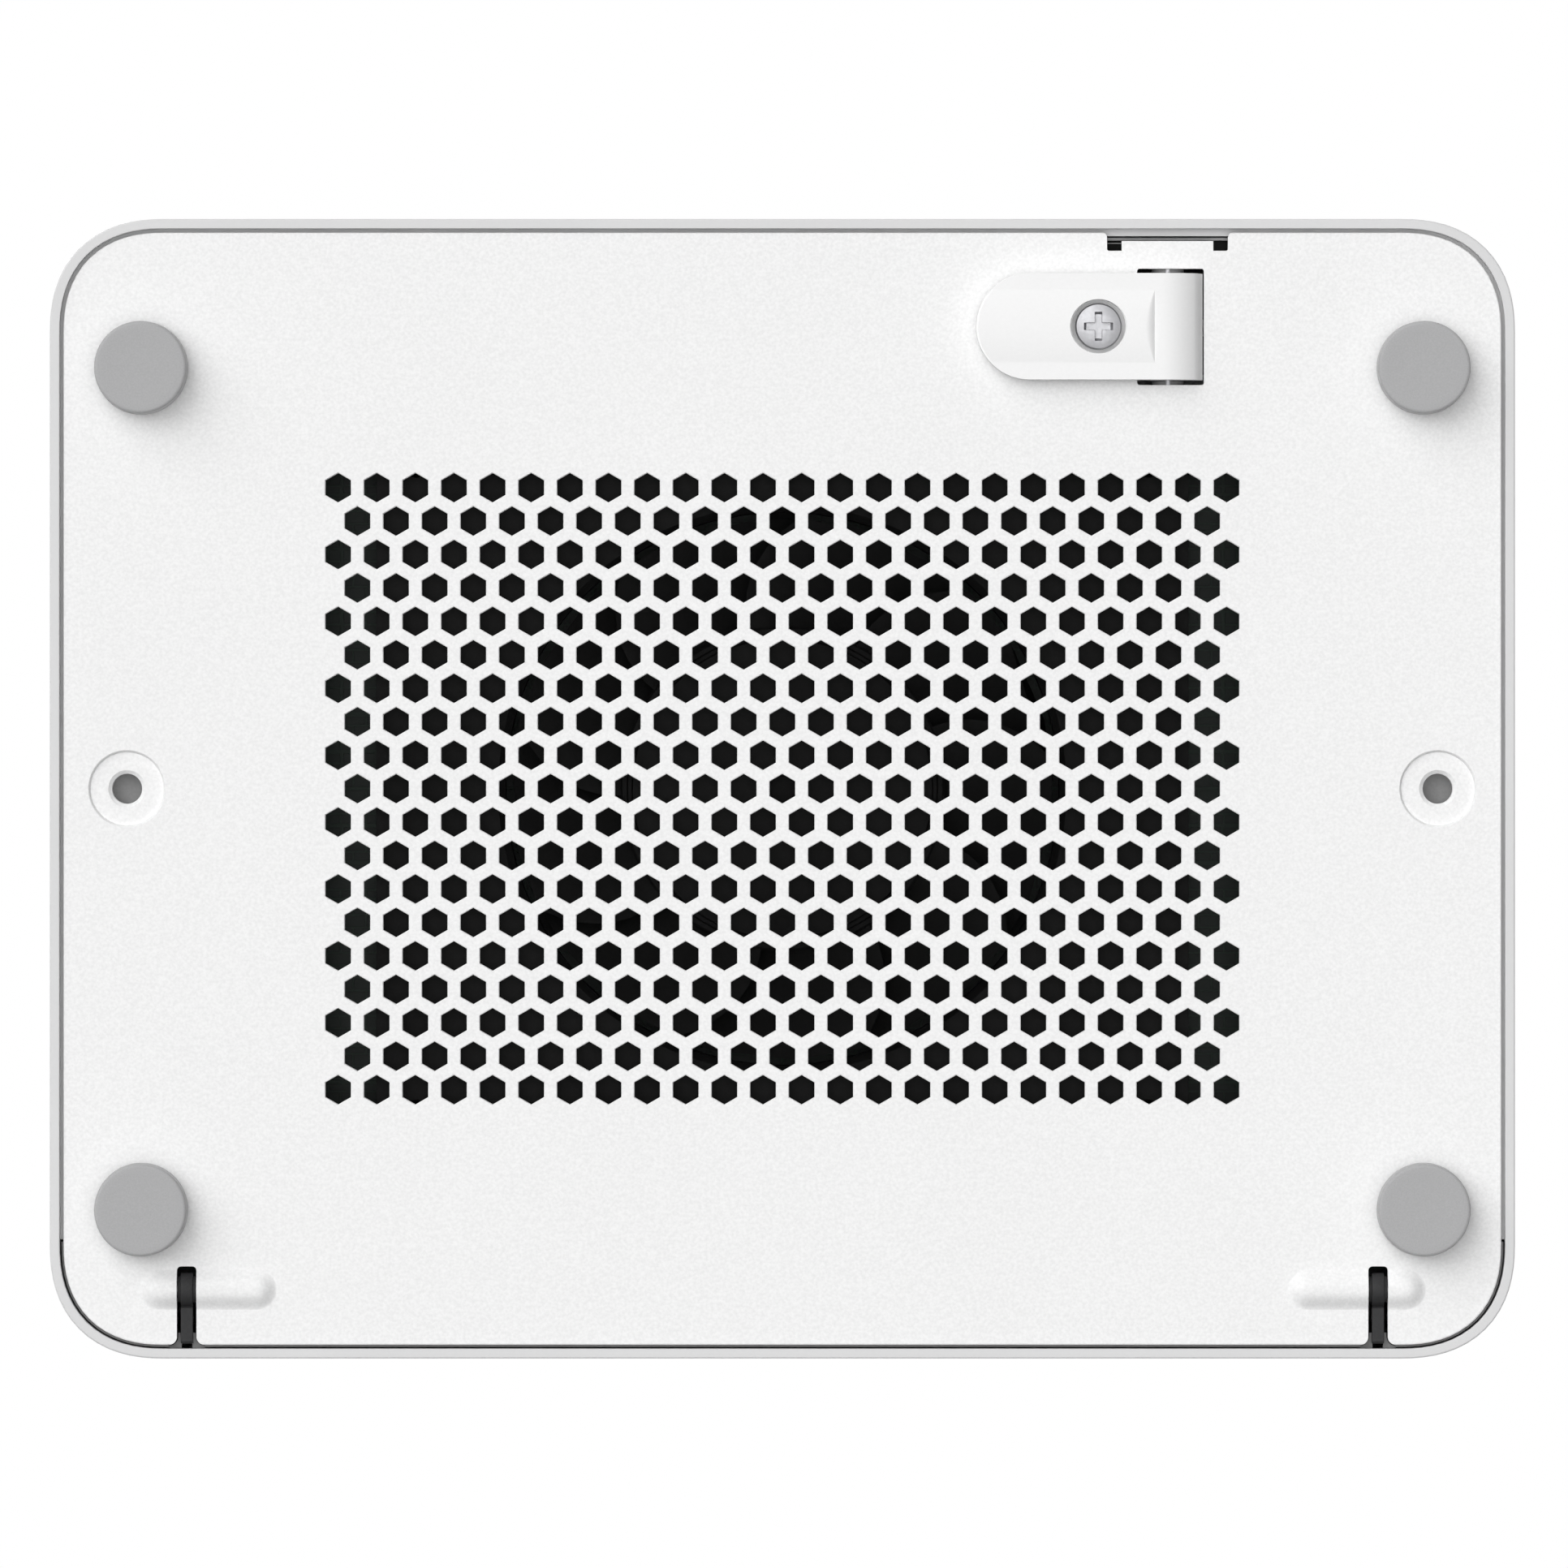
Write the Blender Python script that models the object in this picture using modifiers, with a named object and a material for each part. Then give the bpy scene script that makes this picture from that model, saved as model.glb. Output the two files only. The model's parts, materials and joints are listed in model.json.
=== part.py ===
"""Wireless router with a swing-open bottom cover.

Metres, +Z up. The router stands on its four feet: z = 0 is the surface under them, and the
origin is at the middle of the footprint. +Y is the rear, where the sockets are, and -Y the front.
The bottom cover swings down about two pins near the rear edge. A lever with a captive screw
moves the latch slider that holds the cover shut at the front.
"""

import math

import bmesh
import bpy
from mathutils import Matrix, Vector

# Driving dimensions
LENGTH = 0.1800
WIDTH = 0.1400
HEIGHT = 0.0420
CORNER = 0.0140
CORNER_POWER = 2.33
CORNER_STEPS = 8
GAP = 0.0003
ROUND_STEPS = 6

# Top shell
RIM_WALL = 0.0012
RIM_BOTTOM = 0.0040
SHELL_WALL = 0.0018
LEDGE_BOTTOM = 0.0060
LEDGE_TOP = 0.0069
LEDGE_INSET = 0.0029
SHELL_ROOF = 0.0400
SHELL_EDGE = 0.0050
DARK_ZONE_Y = 0.0557
SIDE_SLOTS = 8
SIDE_SLOT_PITCH = 0.0090
SIDE_SLOT_WIDTH = 0.0026
SIDE_SLOT_MIDDLE_Y = -0.0080
SIDE_SLOT_Z = (0.0260, 0.0340)
LIGHT_HALF_X = 0.0150
LIGHT_Z = (0.0250, 0.0270)
LIGHT_DEPTH = 0.0090

# Bottom cover plate
SEAM = 0.00045
PLATE_BOTTOM = 0.0045
LIP_TOP = PLATE_BOTTOM + 0.0012
PLATE_TOP = PLATE_BOTTOM + 0.0020
PLATE_INSET = RIM_WALL + SEAM
LIP_WIDTH = 0.0025

# Vent field: a coarse version of the fine grille, with the same open share
VENT_PITCH_X = 0.00949
VENT_PITCH_Y = 0.00822
VENT_ROWS = 9
VENT_LONG_ROW = 12
VENT_RADIUS = 0.0073 / 2

# Feet
FOOT_X = 0.07875
FOOT_Y = 0.0517
FOOT_BASE_R = 0.00575
FOOT_FACE_R = 0.00515

# Wall-screw recesses
WALL_SCREW_X = 0.08055
RECESS_R = 0.0046
RECESS_DEPTH = 0.0005
WALL_HOLE_R = 0.00185
WALL_BOSS_R = 0.0050
WALL_BOSS_TOP = 0.0085

# Cover hinge
HINGE_Y = 0.06155
HINGE_Z = 0.0056
BULGE_R = 0.00235
BULGE_INNER_X = 0.0621
BULGE_OUTER_X = 0.0792
ARM_X = 0.0732
ARM_THICK = 0.0015
ARM_EYE_R = 0.00205
ARM_END_Y = 0.0682
HINGE_SLOT_WIDTH = 0.0024
HINGE_SLOT_START = 0.0587
PIN_R = 0.00105
PIN_END_WALL = 0.0018

# Release lever
LEVER_Y = -0.05675
LEVER_WIDTH = 0.0131
LEVER_TIP_X = 0.0238
LEVER_BOTTOM = 0.0015
LEVER_TOP = PLATE_BOTTOM - GAP
LEVER_PIVOT_X = 0.0474
LEVER_PIVOT_Z = 0.0055
KNUCKLE_R = 0.0040
LEVER_HUB_R = 0.0022
LEVER_PIN_R = 0.0006
POCKET_X = (0.0437, 0.0518)
POCKET_Y = (-0.0639, -0.0496)
PIN_BOSS_X = (0.0450, 0.0498)
PIN_BOSS_Y = (-0.0652, -0.0478)
PIN_BOSS_TOP = 0.0078
LEVER_PIN_Y = (PIN_BOSS_Y[0] + 0.0006, PIN_BOSS_Y[1] - 0.0006)
CRANK_REACH = 0.0062
CRANK_PIN_R = 0.0008
CRANK_WIDTH = 0.0020
CRANK_NECK = 0.0009

# Captive screw in the lever
SCREW_X = 0.0388
SCREW_HEAD_R = 0.00285
SCREW_HEAD_TOP = 0.0033
SCREW_SHANK_R = 0.00125
SCREW_END = 0.0080
COUNTERBORE_R = 0.003325
INSERT_R = 0.0030
INSERT_BORE_R = 0.00195
INSERT_BOSS_R = 0.0046
INSERT_BOSS_TOP = 0.0089
INSERT_Z = (0.0048, 0.0088)
CROSS_LENGTH = 0.0036
CROSS_WIDTH = 0.0009
CROSS_DEPTH = 0.0010

# Latch at the front edge
NOTCH_X = (0.0399, 0.05475)
TONGUE_X = (0.0417, 0.05295)
TONGUE_Y = -0.0673
NOTCH_END_Y = -0.0661
LATCH_EDGE_Y = -0.0678
SLIDER_X = (0.0440, 0.0570)
SLIDER_Y = (-0.0666, -0.0510)
SLIDER_Z = (0.0098, 0.0118)
BAR_REAR_Y = SLIDER_Y[0] + 0.0010
TOOTH_SLOT_Y = (-0.0582, -0.0553)
LATCH_BAR_Z = (0.0072, 0.0092)
LATCH_BAR_START_X = 0.0380
STRIKE_X = 0.0549
BRACKET_X = (0.0330, 0.0585)
BRACKET_Y = (-0.0628, -0.0481)
BRACKET_WALL = 0.0011
BRACKET_REST_X = (0.0534, 0.0580)
BRACKET_REST_Y = (-0.0620, -0.0485)
CRANK_SLOT_X = (0.0420, 0.0534)
CRANK_SLOT_Y = (-0.0585, -0.0550)

# Port side
PANEL_Z = (0.0150, 0.0370)
PANEL_HALF_X = 0.0760
FRAME_BOTTOM = 0.0129
FRAME_TOP = 0.0388
FRAME_WALL = 0.0020
PANEL_FACE_Y = 0.0697

# Fan, heat sink and main board
FAN_HALF_X = 0.0500
FAN_HALF_Y = 0.0450
FAN_Z = (0.0085, 0.0160)
FAN_BORE_R = 0.0350
STRUT_THICK = 0.0014
STRUT_HALF_WIDTH = 0.0018
MOTOR_SEAT_R = 0.0140
ROTOR_R = 0.0335
HUB_R = 0.0200
SPINDLE_PIT_R = 0.0015
BLADES = 9
BLADE_PITCH = 35
BLADE_CHORD = 0.0084
BLADE_THICK = 0.0008
SINK_HALF_X = 0.0240
SINK_HALF_Y = 0.0200
SINK_Z = (0.0166, 0.0206)
SINK_BASE = 0.0012
FINS = 9
FIN_THICK = 0.0010
BOARD_Z = (0.0209, 0.0225)
BOARD_HALF_X = 0.0820
BOARD_FRONT_Y = -0.0600
BOARD_REAR_Y = 0.0620
JACK_Z = (BOARD_Z[1] + GAP, 0.0361)
JACK_FRONT_Y = 0.0500
SOCKET_PITCH = 0.0158
SOCKET_HALF_X = 0.0059
SOCKET_Z = (0.0262, 0.0344)
SOCKET_DEPTH = 0.0125
SOCKET_REAR_Y = 0.0698
CLIP_HALF_X = 0.0032
CLIP_DROP = 0.0018
LAN_X = 0.0330
WAN_X = -0.0160
USB_X = -0.0380
USB_HALF_X = 0.0066
USB_Z = (0.0252, 0.0318)
USB_FRONT_Y = 0.0545
USB_MOUTH_HALF_X = 0.00625
USB_MOUTH_Z = (0.02595, 0.03105)
USB_TONGUE_Z = (0.0288, 0.0306)
INLET_X = -0.0540
INLET_HALF_X = 0.0043
INLET_FRONT_Y = 0.0560
INLET_TOP = 0.0326
INLET_Z = 0.0280
INLET_WELL_R = 0.0031
INLET_PIN_R = 0.0010

# Each button's X, Z and radius
BUTTONS = {
    "power_button": (-0.0680, 0.0290, 0.0040),
    "wps_button": (0.0695, 0.0310, 0.0022),
    "reset_button": (0.0695, 0.0240, 0.0012),
}
BUTTON_FLANGE = 0.0006

# Screws, shield and antennas
SCREW_PLACES = {
    "board_screw_1": (-0.0760, -0.0540),
    "board_screw_2": (0.0760, -0.0540),
    "board_screw_3": (-0.0760, 0.0440),
    "board_screw_4": (0.0760, 0.0440),
}
BOARD_HOLE_R = 0.0018
SHIELD_LOW = (-0.0300, -0.0400)
SHIELD_HIGH = (0.0300, 0.0200)
SHIELD_HEIGHT = 0.0030
ANTENNA_X = LENGTH / 2 - SHELL_WALL - 0.0016
ANTENNA_THICK = 0.0008
ANTENNA_HALF_Y = 0.0140
ANTENNA_Z = (0.0110, 0.0200)
ANTENNA_PLACES = ((-1, -0.0300), (-1, 0.0300), (1, -0.0300), (1, 0.0300))
LEAD_R = 0.0007


def clear_scene():
    for piece in list(bpy.data.objects):
        bpy.data.objects.remove(piece)


def new_collection(name):
    group = bpy.data.collections.new(name)
    bpy.context.scene.collection.children.link(group)
    return group


def new_material(name, colour, roughness, metallic=0.0):
    finish = bpy.data.materials.new(name)
    finish.use_nodes = True
    shader = finish.node_tree.nodes["Principled BSDF"]
    shader.inputs["Base Color"].default_value = (*colour, 1.0)
    shader.inputs["Roughness"].default_value = roughness
    shader.inputs["Metallic"].default_value = metallic
    return finish


def new_piece(name, mesh, place=None, finish=None):
    piece = bpy.data.objects.new(name, mesh)
    PARTS.objects.link(piece)
    if place is not None:
        piece.matrix_world = place
    if finish is not None:
        mesh.materials.append(finish)
    return piece


def at(x, y, z):
    return Matrix.Translation((x, y, z))


def block(name, low, high, finish=None):
    """A box between two corners."""
    size = Vector(high) - Vector(low)
    shape = bmesh.new()
    bmesh.ops.create_cube(shape, size=1.0, matrix=Matrix.Diagonal((*size, 1.0)))
    mesh = bpy.data.meshes.new(name)
    shape.to_mesh(mesh)
    shape.free()
    return new_piece(name, mesh, Matrix.Translation((Vector(low) + Vector(high)) / 2), finish)


def rod(name, centre, axis, radius, length, finish=None, segments=16):
    """A cylinder of this length, along an axis through its centre."""
    shape = bmesh.new()
    bmesh.ops.create_cone(
        shape,
        cap_ends=True,
        segments=segments,
        radius1=radius,
        radius2=radius,
        depth=length,
    )
    mesh = bpy.data.meshes.new(name)
    shape.to_mesh(mesh)
    shape.free()
    mesh.shade_smooth()
    mesh.set_sharp_from_angle(angle=math.radians(35))
    turn = Vector((0, 0, 1)).rotation_difference(Vector(axis)).to_matrix().to_4x4()
    return new_piece(name, mesh, Matrix.Translation(centre) @ turn, finish)


def turned(name, profile, place, finish=None, steps=24):
    """A turned solid. The profile is (radius, height) pairs, down the outer side."""
    mesh = bpy.data.meshes.new(name)
    points = [(radius, 0, height) for radius, height in profile]
    mesh.from_pydata(points, [(i, i + 1) for i in range(len(points) - 1)], [])
    piece = new_piece(name, mesh, place, finish)
    turning = piece.modifiers.new("turn", "SCREW")
    turning.steps = turning.render_steps = steps
    turning.use_merge_vertices = True
    turning.merge_threshold = 0.00001
    turning.use_smooth_shade = True
    return piece


def extruded(name, outline, low, high, plane="XY", finish=None):
    """A flat outline with this thickness. The plane names the outline's two directions."""
    drawing = bpy.data.curves.new(name, "CURVE")
    drawing.dimensions = "2D"
    drawing.fill_mode = "BOTH"
    drawing.extrude = (high - low) / 2
    line = drawing.splines.new("POLY")
    line.points.add(len(outline) - 1)
    for point, (u, v) in zip(line.points, outline):
        point.co = (u, v, 0, 1)
    line.use_cyclic_u = True
    middle = (low + high) / 2
    place = {
        "XY": at(0, 0, middle),
        "XZ": at(0, middle, 0) @ Matrix.Rotation(math.pi / 2, 4, "X"),
        "YZ": at(middle, 0, 0) @ Matrix(((0, 0, 1, 0), (1, 0, 0, 0), (0, 1, 0, 0), (0, 0, 0, 1))),
    }[plane]
    curve = new_piece(name, drawing, place)
    bpy.context.view_layer.update()
    graph = bpy.context.evaluated_depsgraph_get()
    mesh = bpy.data.meshes.new_from_object(curve.evaluated_get(graph))
    bpy.data.objects.remove(curve)
    shape = bmesh.new()
    shape.from_mesh(mesh)
    bmesh.ops.remove_doubles(shape, verts=shape.verts, dist=0.000001)
    bmesh.ops.dissolve_limit(shape, angle_limit=0.01, verts=shape.verts, edges=shape.edges)
    bmesh.ops.recalc_face_normals(shape, faces=shape.faces)
    shape.to_mesh(mesh)
    shape.free()
    return new_piece(name, mesh, place, finish)


def arc(centre, radius, start, end, steps=ROUND_STEPS):
    """Points on an arc, with angles in degrees from the first direction to the second."""
    found = []
    for step in range(steps + 1):
        angle = math.radians(start + (end - start) * step / steps)
        found.append((centre[0] + radius * math.cos(angle), centre[1] + radius * math.sin(angle)))
    return found


def case_outline(inset):
    """The case's outline from above, moved in by inset. Its corners are superellipses."""
    found = []
    for quarter, (side_x, side_y) in enumerate(((1, 1), (-1, 1), (-1, -1), (1, -1))):
        middle = (side_x * (LENGTH / 2 - CORNER), side_y * (WIDTH / 2 - CORNER))
        for step in range(CORNER_STEPS + 1):
            angle = math.radians(90 * (quarter + step / CORNER_STEPS))
            across, up = math.cos(angle), math.sin(angle)
            total = abs(across) ** CORNER_POWER + abs(up) ** CORNER_POWER
            reach = (CORNER - inset) / total ** (1 / CORNER_POWER)
            found.append((middle[0] + reach * across, middle[1] + reach * up))
    return found


def boolean(piece, other, operation):
    change = piece.modifiers.new(other.name, "BOOLEAN")
    change.operation = operation
    change.object = other
    for group in list(other.users_collection):
        group.objects.unlink(other)
    CUTTERS.objects.link(other)
    other.hide_render = True
    other.display_type = "WIRE"


def cut(piece, *cutters):
    for cutter in cutters:
        boolean(piece, cutter, "DIFFERENCE")


def join(piece, *others):
    for other in others:
        boolean(piece, other, "UNION")


def pivot(name, place):
    """An empty on a joint's axis, which carries the pieces that turn with it."""
    empty = bpy.data.objects.new(name, None)
    PARTS.objects.link(empty)
    empty.empty_display_size = 0.01
    empty.location = place
    return empty


def carry(empty, pieces):
    for piece in pieces:
        piece.parent = empty
        piece.matrix_parent_inverse = Matrix.Translation(empty.location).inverted()


# --- Top shell ---------------------------------------------------------------------------------


def shell_body():
    """The closed outer form, with its top edge rounded over."""
    body = extruded("top_shell", case_outline(0), RIM_BOTTOM, HEIGHT, finish=WHITE_SHELL)
    shape = bmesh.new()
    shape.from_mesh(body.data)
    top = max(vertex.co.z for vertex in shape.verts) - 0.00001
    upper = [edge for edge in shape.edges if all(end.co.z > top for end in edge.verts)]
    bmesh.ops.bevel(
        shape, geom=upper, offset=SHELL_EDGE, segments=3, profile=0.5, affect="EDGES"
    )
    shape.to_mesh(body.data)
    shape.free()
    return body


def shell_ledge_opening():
    """What is open inside the ledge: narrower where the latch bar runs along the front wall."""
    middle = extruded("cut_ledge", case_outline(LEDGE_INSET), RIM_BOTTOM, LEDGE_TOP + GAP)
    latch_run = block(
        "cut_latch_run",
        (0.0285, -WIDTH / 2 + 0.0020, RIM_BOTTOM),
        (STRIKE_X, LATCH_EDGE_Y + 0.0030, LEDGE_TOP + GAP),
    )
    return middle, latch_run


def side_slots():
    """A cutter for each of the exhaust slots in both side walls."""
    cutters = []
    half = SIDE_SLOT_WIDTH / 2
    for side in (-1, 1):
        x = side * (LENGTH / 2 - SHELL_WALL / 2)
        for number in range(SIDE_SLOTS):
            y = (number - (SIDE_SLOTS - 1) / 2) * SIDE_SLOT_PITCH + SIDE_SLOT_MIDDLE_Y
            low = (x - 2 * SHELL_WALL, y - half, SIDE_SLOT_Z[0])
            high = (x + 2 * SHELL_WALL, y + half, SIDE_SLOT_Z[1])
            cutters.append(block(f"cut_slot_{side}_{number}", low, high))
    return cutters


def top_shell():
    shell = shell_body()
    cavity = extruded("cut_cavity", case_outline(SHELL_WALL), LEDGE_TOP, SHELL_ROOF)
    rim = extruded("cut_rim", case_outline(RIM_WALL), RIM_BOTTOM - GAP, LEDGE_BOTTOM)
    dark_zone = extruded("cut_dark_zone", case_outline(RIM_WALL), RIM_BOTTOM, FRAME_TOP + GAP)
    cut(
        dark_zone,
        block(
            "cut_front_of_dark_zone",
            (-LENGTH, -WIDTH, -HEIGHT),
            (LENGTH, DARK_ZONE_Y - GAP, 2 * HEIGHT),
        ),
    )
    window = block(
        "cut_window",
        (-PANEL_HALF_X, WIDTH / 2 - 0.004, PANEL_Z[0]),
        (PANEL_HALF_X, WIDTH / 2 + 0.004, PANEL_Z[1]),
    )
    light_window = block(
        "cut_light_window",
        (-LIGHT_HALF_X - GAP, -WIDTH / 2 - 0.001, LIGHT_Z[0] - GAP),
        (LIGHT_HALF_X + GAP, -WIDTH / 2 + 0.004, LIGHT_Z[1] + GAP),
    )
    cut(shell, cavity, rim, *shell_ledge_opening(), dark_zone, window, light_window)
    cut(shell, *side_slots())
    return shell


# --- Port side ---------------------------------------------------------------------------------


def hinge_arm(name, x):
    """A flat arm with an eye at the hinge, rising to the port frame behind the cover."""
    hinge = (HINGE_Y, HINGE_Z)
    outline = arc(hinge, ARM_EYE_R, 90, 300, 10)
    outline += [
        (ARM_END_Y, HINGE_Z - 0.0010),
        (ARM_END_Y, PANEL_Z[0] + 0.0005),
        (ARM_END_Y - 0.0024, PANEL_Z[0] + 0.0005),
        (ARM_END_Y - 0.0024, HINGE_Z + ARM_EYE_R),
    ]
    arm = extruded(name, outline, x - ARM_THICK / 2, x + ARM_THICK / 2, "YZ")
    bore = rod(name + "_bore", (x, HINGE_Y, HINGE_Z), (1, 0, 0), PIN_R + GAP, 4 * ARM_THICK)
    cut(arm, bore)
    return arm


def frame_ring():
    """The wall that wraps the two rear corners inside the shell."""
    ring = extruded(
        "port_frame", case_outline(RIM_WALL + GAP), FRAME_BOTTOM, FRAME_TOP, finish=DARK_PLASTIC
    )
    inside = extruded(
        "cut_frame_inside",
        case_outline(RIM_WALL + GAP + FRAME_WALL),
        FRAME_BOTTOM - GAP,
        FRAME_TOP + GAP,
    )
    front = block(
        "cut_frame_front", (-LENGTH, -WIDTH, 0), (LENGTH, DARK_ZONE_Y, 2 * HEIGHT)
    )
    cut(ring, inside, front)
    return ring


def port_frame():
    frame = frame_ring()
    inner_y = WIDTH / 2 - RIM_WALL - GAP - 0.0010
    panel = block(
        "port_panel",
        (-PANEL_HALF_X + GAP, inner_y, PANEL_Z[0] + GAP),
        (PANEL_HALF_X - GAP, PANEL_FACE_Y, PANEL_Z[1] - GAP),
    )
    join(frame, panel)
    for name, x in (("arm_left", -ARM_X), ("arm_right", ARM_X)):
        join(frame, hinge_arm(name, x))
    through = (WIDTH / 2 - 0.006, WIDTH / 2 + 0.002)
    holes = [
        ("lan", LAN_X, 2 * SOCKET_PITCH + GAP, JACK_Z),
        ("wan", WAN_X, SOCKET_PITCH / 2 + GAP, JACK_Z),
        ("usb", USB_X, USB_HALF_X + GAP, (JACK_Z[0], USB_Z[1])),
        ("inlet", INLET_X, INLET_HALF_X + GAP, (JACK_Z[0], INLET_TOP)),
    ]
    for name, x, half, (low, high) in holes:
        hole = block(
            f"cut_{name}",
            (x - half, through[0], low - GAP),
            (x + half, through[1], high + GAP),
        )
        cut(frame, hole)
    for name, (x, z, radius) in BUTTONS.items():
        middle = (x, WIDTH / 2 - 0.002, z)
        cut(frame, rod(f"cut_{name}", middle, (0, 1, 0), radius + GAP, 0.012, segments=20))
    return frame


def push_button(name, x, z, radius):
    """A button with a flange behind the panel. It is pushed towards -Y."""
    face_y = WIDTH / 2
    flange_y = WIDTH / 2 - RIM_WALL - FRAME_WALL - 2 * GAP
    profile = [
        (0, face_y),
        (radius * 0.9, face_y),
        (radius, face_y - 0.0004),
        (radius, flange_y),
        (radius + BUTTON_FLANGE, flange_y),
        (radius + BUTTON_FLANGE, flange_y - 0.0010),
        (0, flange_y - 0.0010),
    ]
    middle = face_y - 0.002
    profile = [(out, along - middle) for out, along in profile]
    place = at(x, middle, z) @ Matrix.Rotation(-math.pi / 2, 4, "X")
    return turned(name, profile, place, BUTTON_PLASTIC, steps=16)


def socket_block(name, x, sockets):
    """A row of network sockets in one housing, open to the rear."""
    half = sockets * SOCKET_PITCH / 2
    low, high = (x - half, JACK_FRONT_Y, JACK_Z[0]), (x + half, SOCKET_REAR_Y, JACK_Z[1])
    body = block(name, low, high, JACK_METAL)
    depth = (SOCKET_REAR_Y - SOCKET_DEPTH, SOCKET_REAR_Y + 0.001)
    for number in range(sockets):
        middle = x + (number - (sockets - 1) / 2) * SOCKET_PITCH
        mouth = block(
            f"cut_{name}_{number}",
            (middle - SOCKET_HALF_X, depth[0], SOCKET_Z[0]),
            (middle + SOCKET_HALF_X, depth[1], SOCKET_Z[1]),
        )
        clip = block(
            f"cut_{name}_clip_{number}",
            (middle - CLIP_HALF_X, depth[0], SOCKET_Z[0] - CLIP_DROP),
            (middle + CLIP_HALF_X, depth[1], SOCKET_Z[0] + 0.0002),
        )
        cut(body, mouth, clip)
    return body


def usb_socket():
    """A metal tube with a contact tongue, on a foot that reaches the board."""
    rear = SOCKET_REAR_Y
    body = block(
        "usb_socket",
        (USB_X - USB_HALF_X, USB_FRONT_Y, USB_Z[0]),
        (USB_X + USB_HALF_X, rear, USB_Z[1]),
        JACK_METAL,
    )
    mouth = block(
        "cut_usb_mouth",
        (USB_X - USB_MOUTH_HALF_X, rear - 0.0090, USB_MOUTH_Z[0]),
        (USB_X + USB_MOUTH_HALF_X, rear + 0.001, USB_MOUTH_Z[1]),
    )
    tongue = block(
        "usb_tongue",
        (USB_X - 0.0055, rear - 0.0098, USB_TONGUE_Z[0]),
        (USB_X + 0.0055, rear - 0.0006, USB_TONGUE_Z[1]),
    )
    foot = block(
        "usb_foot",
        (USB_X - 0.0060, USB_FRONT_Y + 0.0005, JACK_Z[0]),
        (USB_X + 0.0060, USB_FRONT_Y + 0.0085, USB_Z[0] + 0.0002),
    )
    cut(body, mouth)
    join(body, tongue, foot)
    return body


def power_inlet():
    """A round well with a centre pin."""
    rear = SOCKET_REAR_Y
    body = block(
        "power_inlet",
        (INLET_X - INLET_HALF_X, INLET_FRONT_Y, JACK_Z[0]),
        (INLET_X + INLET_HALF_X, rear, INLET_TOP),
        DARK_PLASTIC,
    )
    well_middle = (INLET_X, rear - 0.0040, INLET_Z)
    pin_middle = (INLET_X, rear - 0.0055, INLET_Z)
    well = rod("cut_inlet_well", well_middle, (0, 1, 0), INLET_WELL_R, 0.0100, segments=20)
    pin = rod("inlet_pin", pin_middle, (0, 1, 0), INLET_PIN_R, 0.0090, segments=10)
    cut(body, well)
    join(body, pin)
    return body


# --- Fan, board and what they carry ------------------------------------------------------------


def fan_frame():
    """The shroud plate, open round the impeller, with three struts behind that hold the motor."""
    frame = block(
        "fan_frame",
        (-FAN_HALF_X, -FAN_HALF_Y, FAN_Z[0]),
        (FAN_HALF_X, FAN_HALF_Y, FAN_Z[1]),
        BLACK_PLASTIC,
    )
    bore = rod("cut_fan_bore", (0, 0, FAN_Z[0]), (0, 0, 1), FAN_BORE_R, 0.02, segments=40)
    cut(frame, bore)
    strut_z = (FAN_Z[1] - STRUT_THICK, FAN_Z[1])
    motor = rod(
        "fan_motor_seat",
        (0, 0, sum(strut_z) / 2),
        (0, 0, 1),
        MOTOR_SEAT_R,
        STRUT_THICK,
        segments=24,
    )
    for number in range(3):
        turn = Matrix.Rotation(math.radians(120 * number + 30), 4, "Z")
        strut = block(
            f"fan_strut_{number}",
            (MOTOR_SEAT_R - 0.0015, -STRUT_HALF_WIDTH, strut_z[0]),
            (FAN_BORE_R + 0.0010, STRUT_HALF_WIDTH, strut_z[1]),
        )
        strut.matrix_world = turn @ strut.matrix_world
        join(frame, strut)
    join(frame, motor)
    return frame


def fan_rotor():
    """The hub with its blades. It turns about Z on the motor seat."""
    hub_z = (FAN_Z[0] + 0.0006, FAN_Z[1] - STRUT_THICK - GAP)
    blade_length = ROTOR_R - HUB_R + 0.0011
    rotor = rod(
        "fan_rotor",
        (0, 0, sum(hub_z) / 2),
        (0, 0, 1),
        HUB_R,
        hub_z[1] - hub_z[0],
        BLACK_PLASTIC,
        segments=36,
    )
    pit = rod("cut_spindle_pit", (0, 0, hub_z[0]), (0, 0, 1), SPINDLE_PIT_R, 0.0016, segments=12)
    cut(rotor, pit)
    for number in range(BLADES):
        turn = Matrix.Rotation(2 * math.pi * number / BLADES, 4, "Z")
        pitch = Matrix.Rotation(math.radians(BLADE_PITCH), 4, "X")
        half = Vector((blade_length / 2, BLADE_CHORD / 2, BLADE_THICK / 2))
        blade = block(f"blade_{number}", -half, half)
        middle = at((HUB_R + ROTOR_R) / 2 - 0.0005, 0, sum(hub_z) / 2)
        blade.matrix_world = turn @ middle @ pitch
        join(rotor, blade)
    return rotor


def heat_sink():
    """A plate with fins that hang down towards the fan."""
    sink = block(
        "heat_sink",
        (-SINK_HALF_X, -SINK_HALF_Y, SINK_Z[1] - SINK_BASE),
        (SINK_HALF_X, SINK_HALF_Y, SINK_Z[1]),
        ALUMINIUM,
    )
    reach_x = SINK_HALF_X - FIN_THICK / 2 - 0.0001
    reach_y = SINK_HALF_Y - 0.0001
    for number in range(FINS):
        x = -reach_x + 2 * reach_x * number / (FINS - 1)
        low = (x - FIN_THICK / 2, -reach_y, SINK_Z[0])
        high = (x + FIN_THICK / 2, reach_y, SINK_Z[1] - SINK_BASE / 2)
        join(sink, block(f"fin_{number}", low, high))
    return sink


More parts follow.
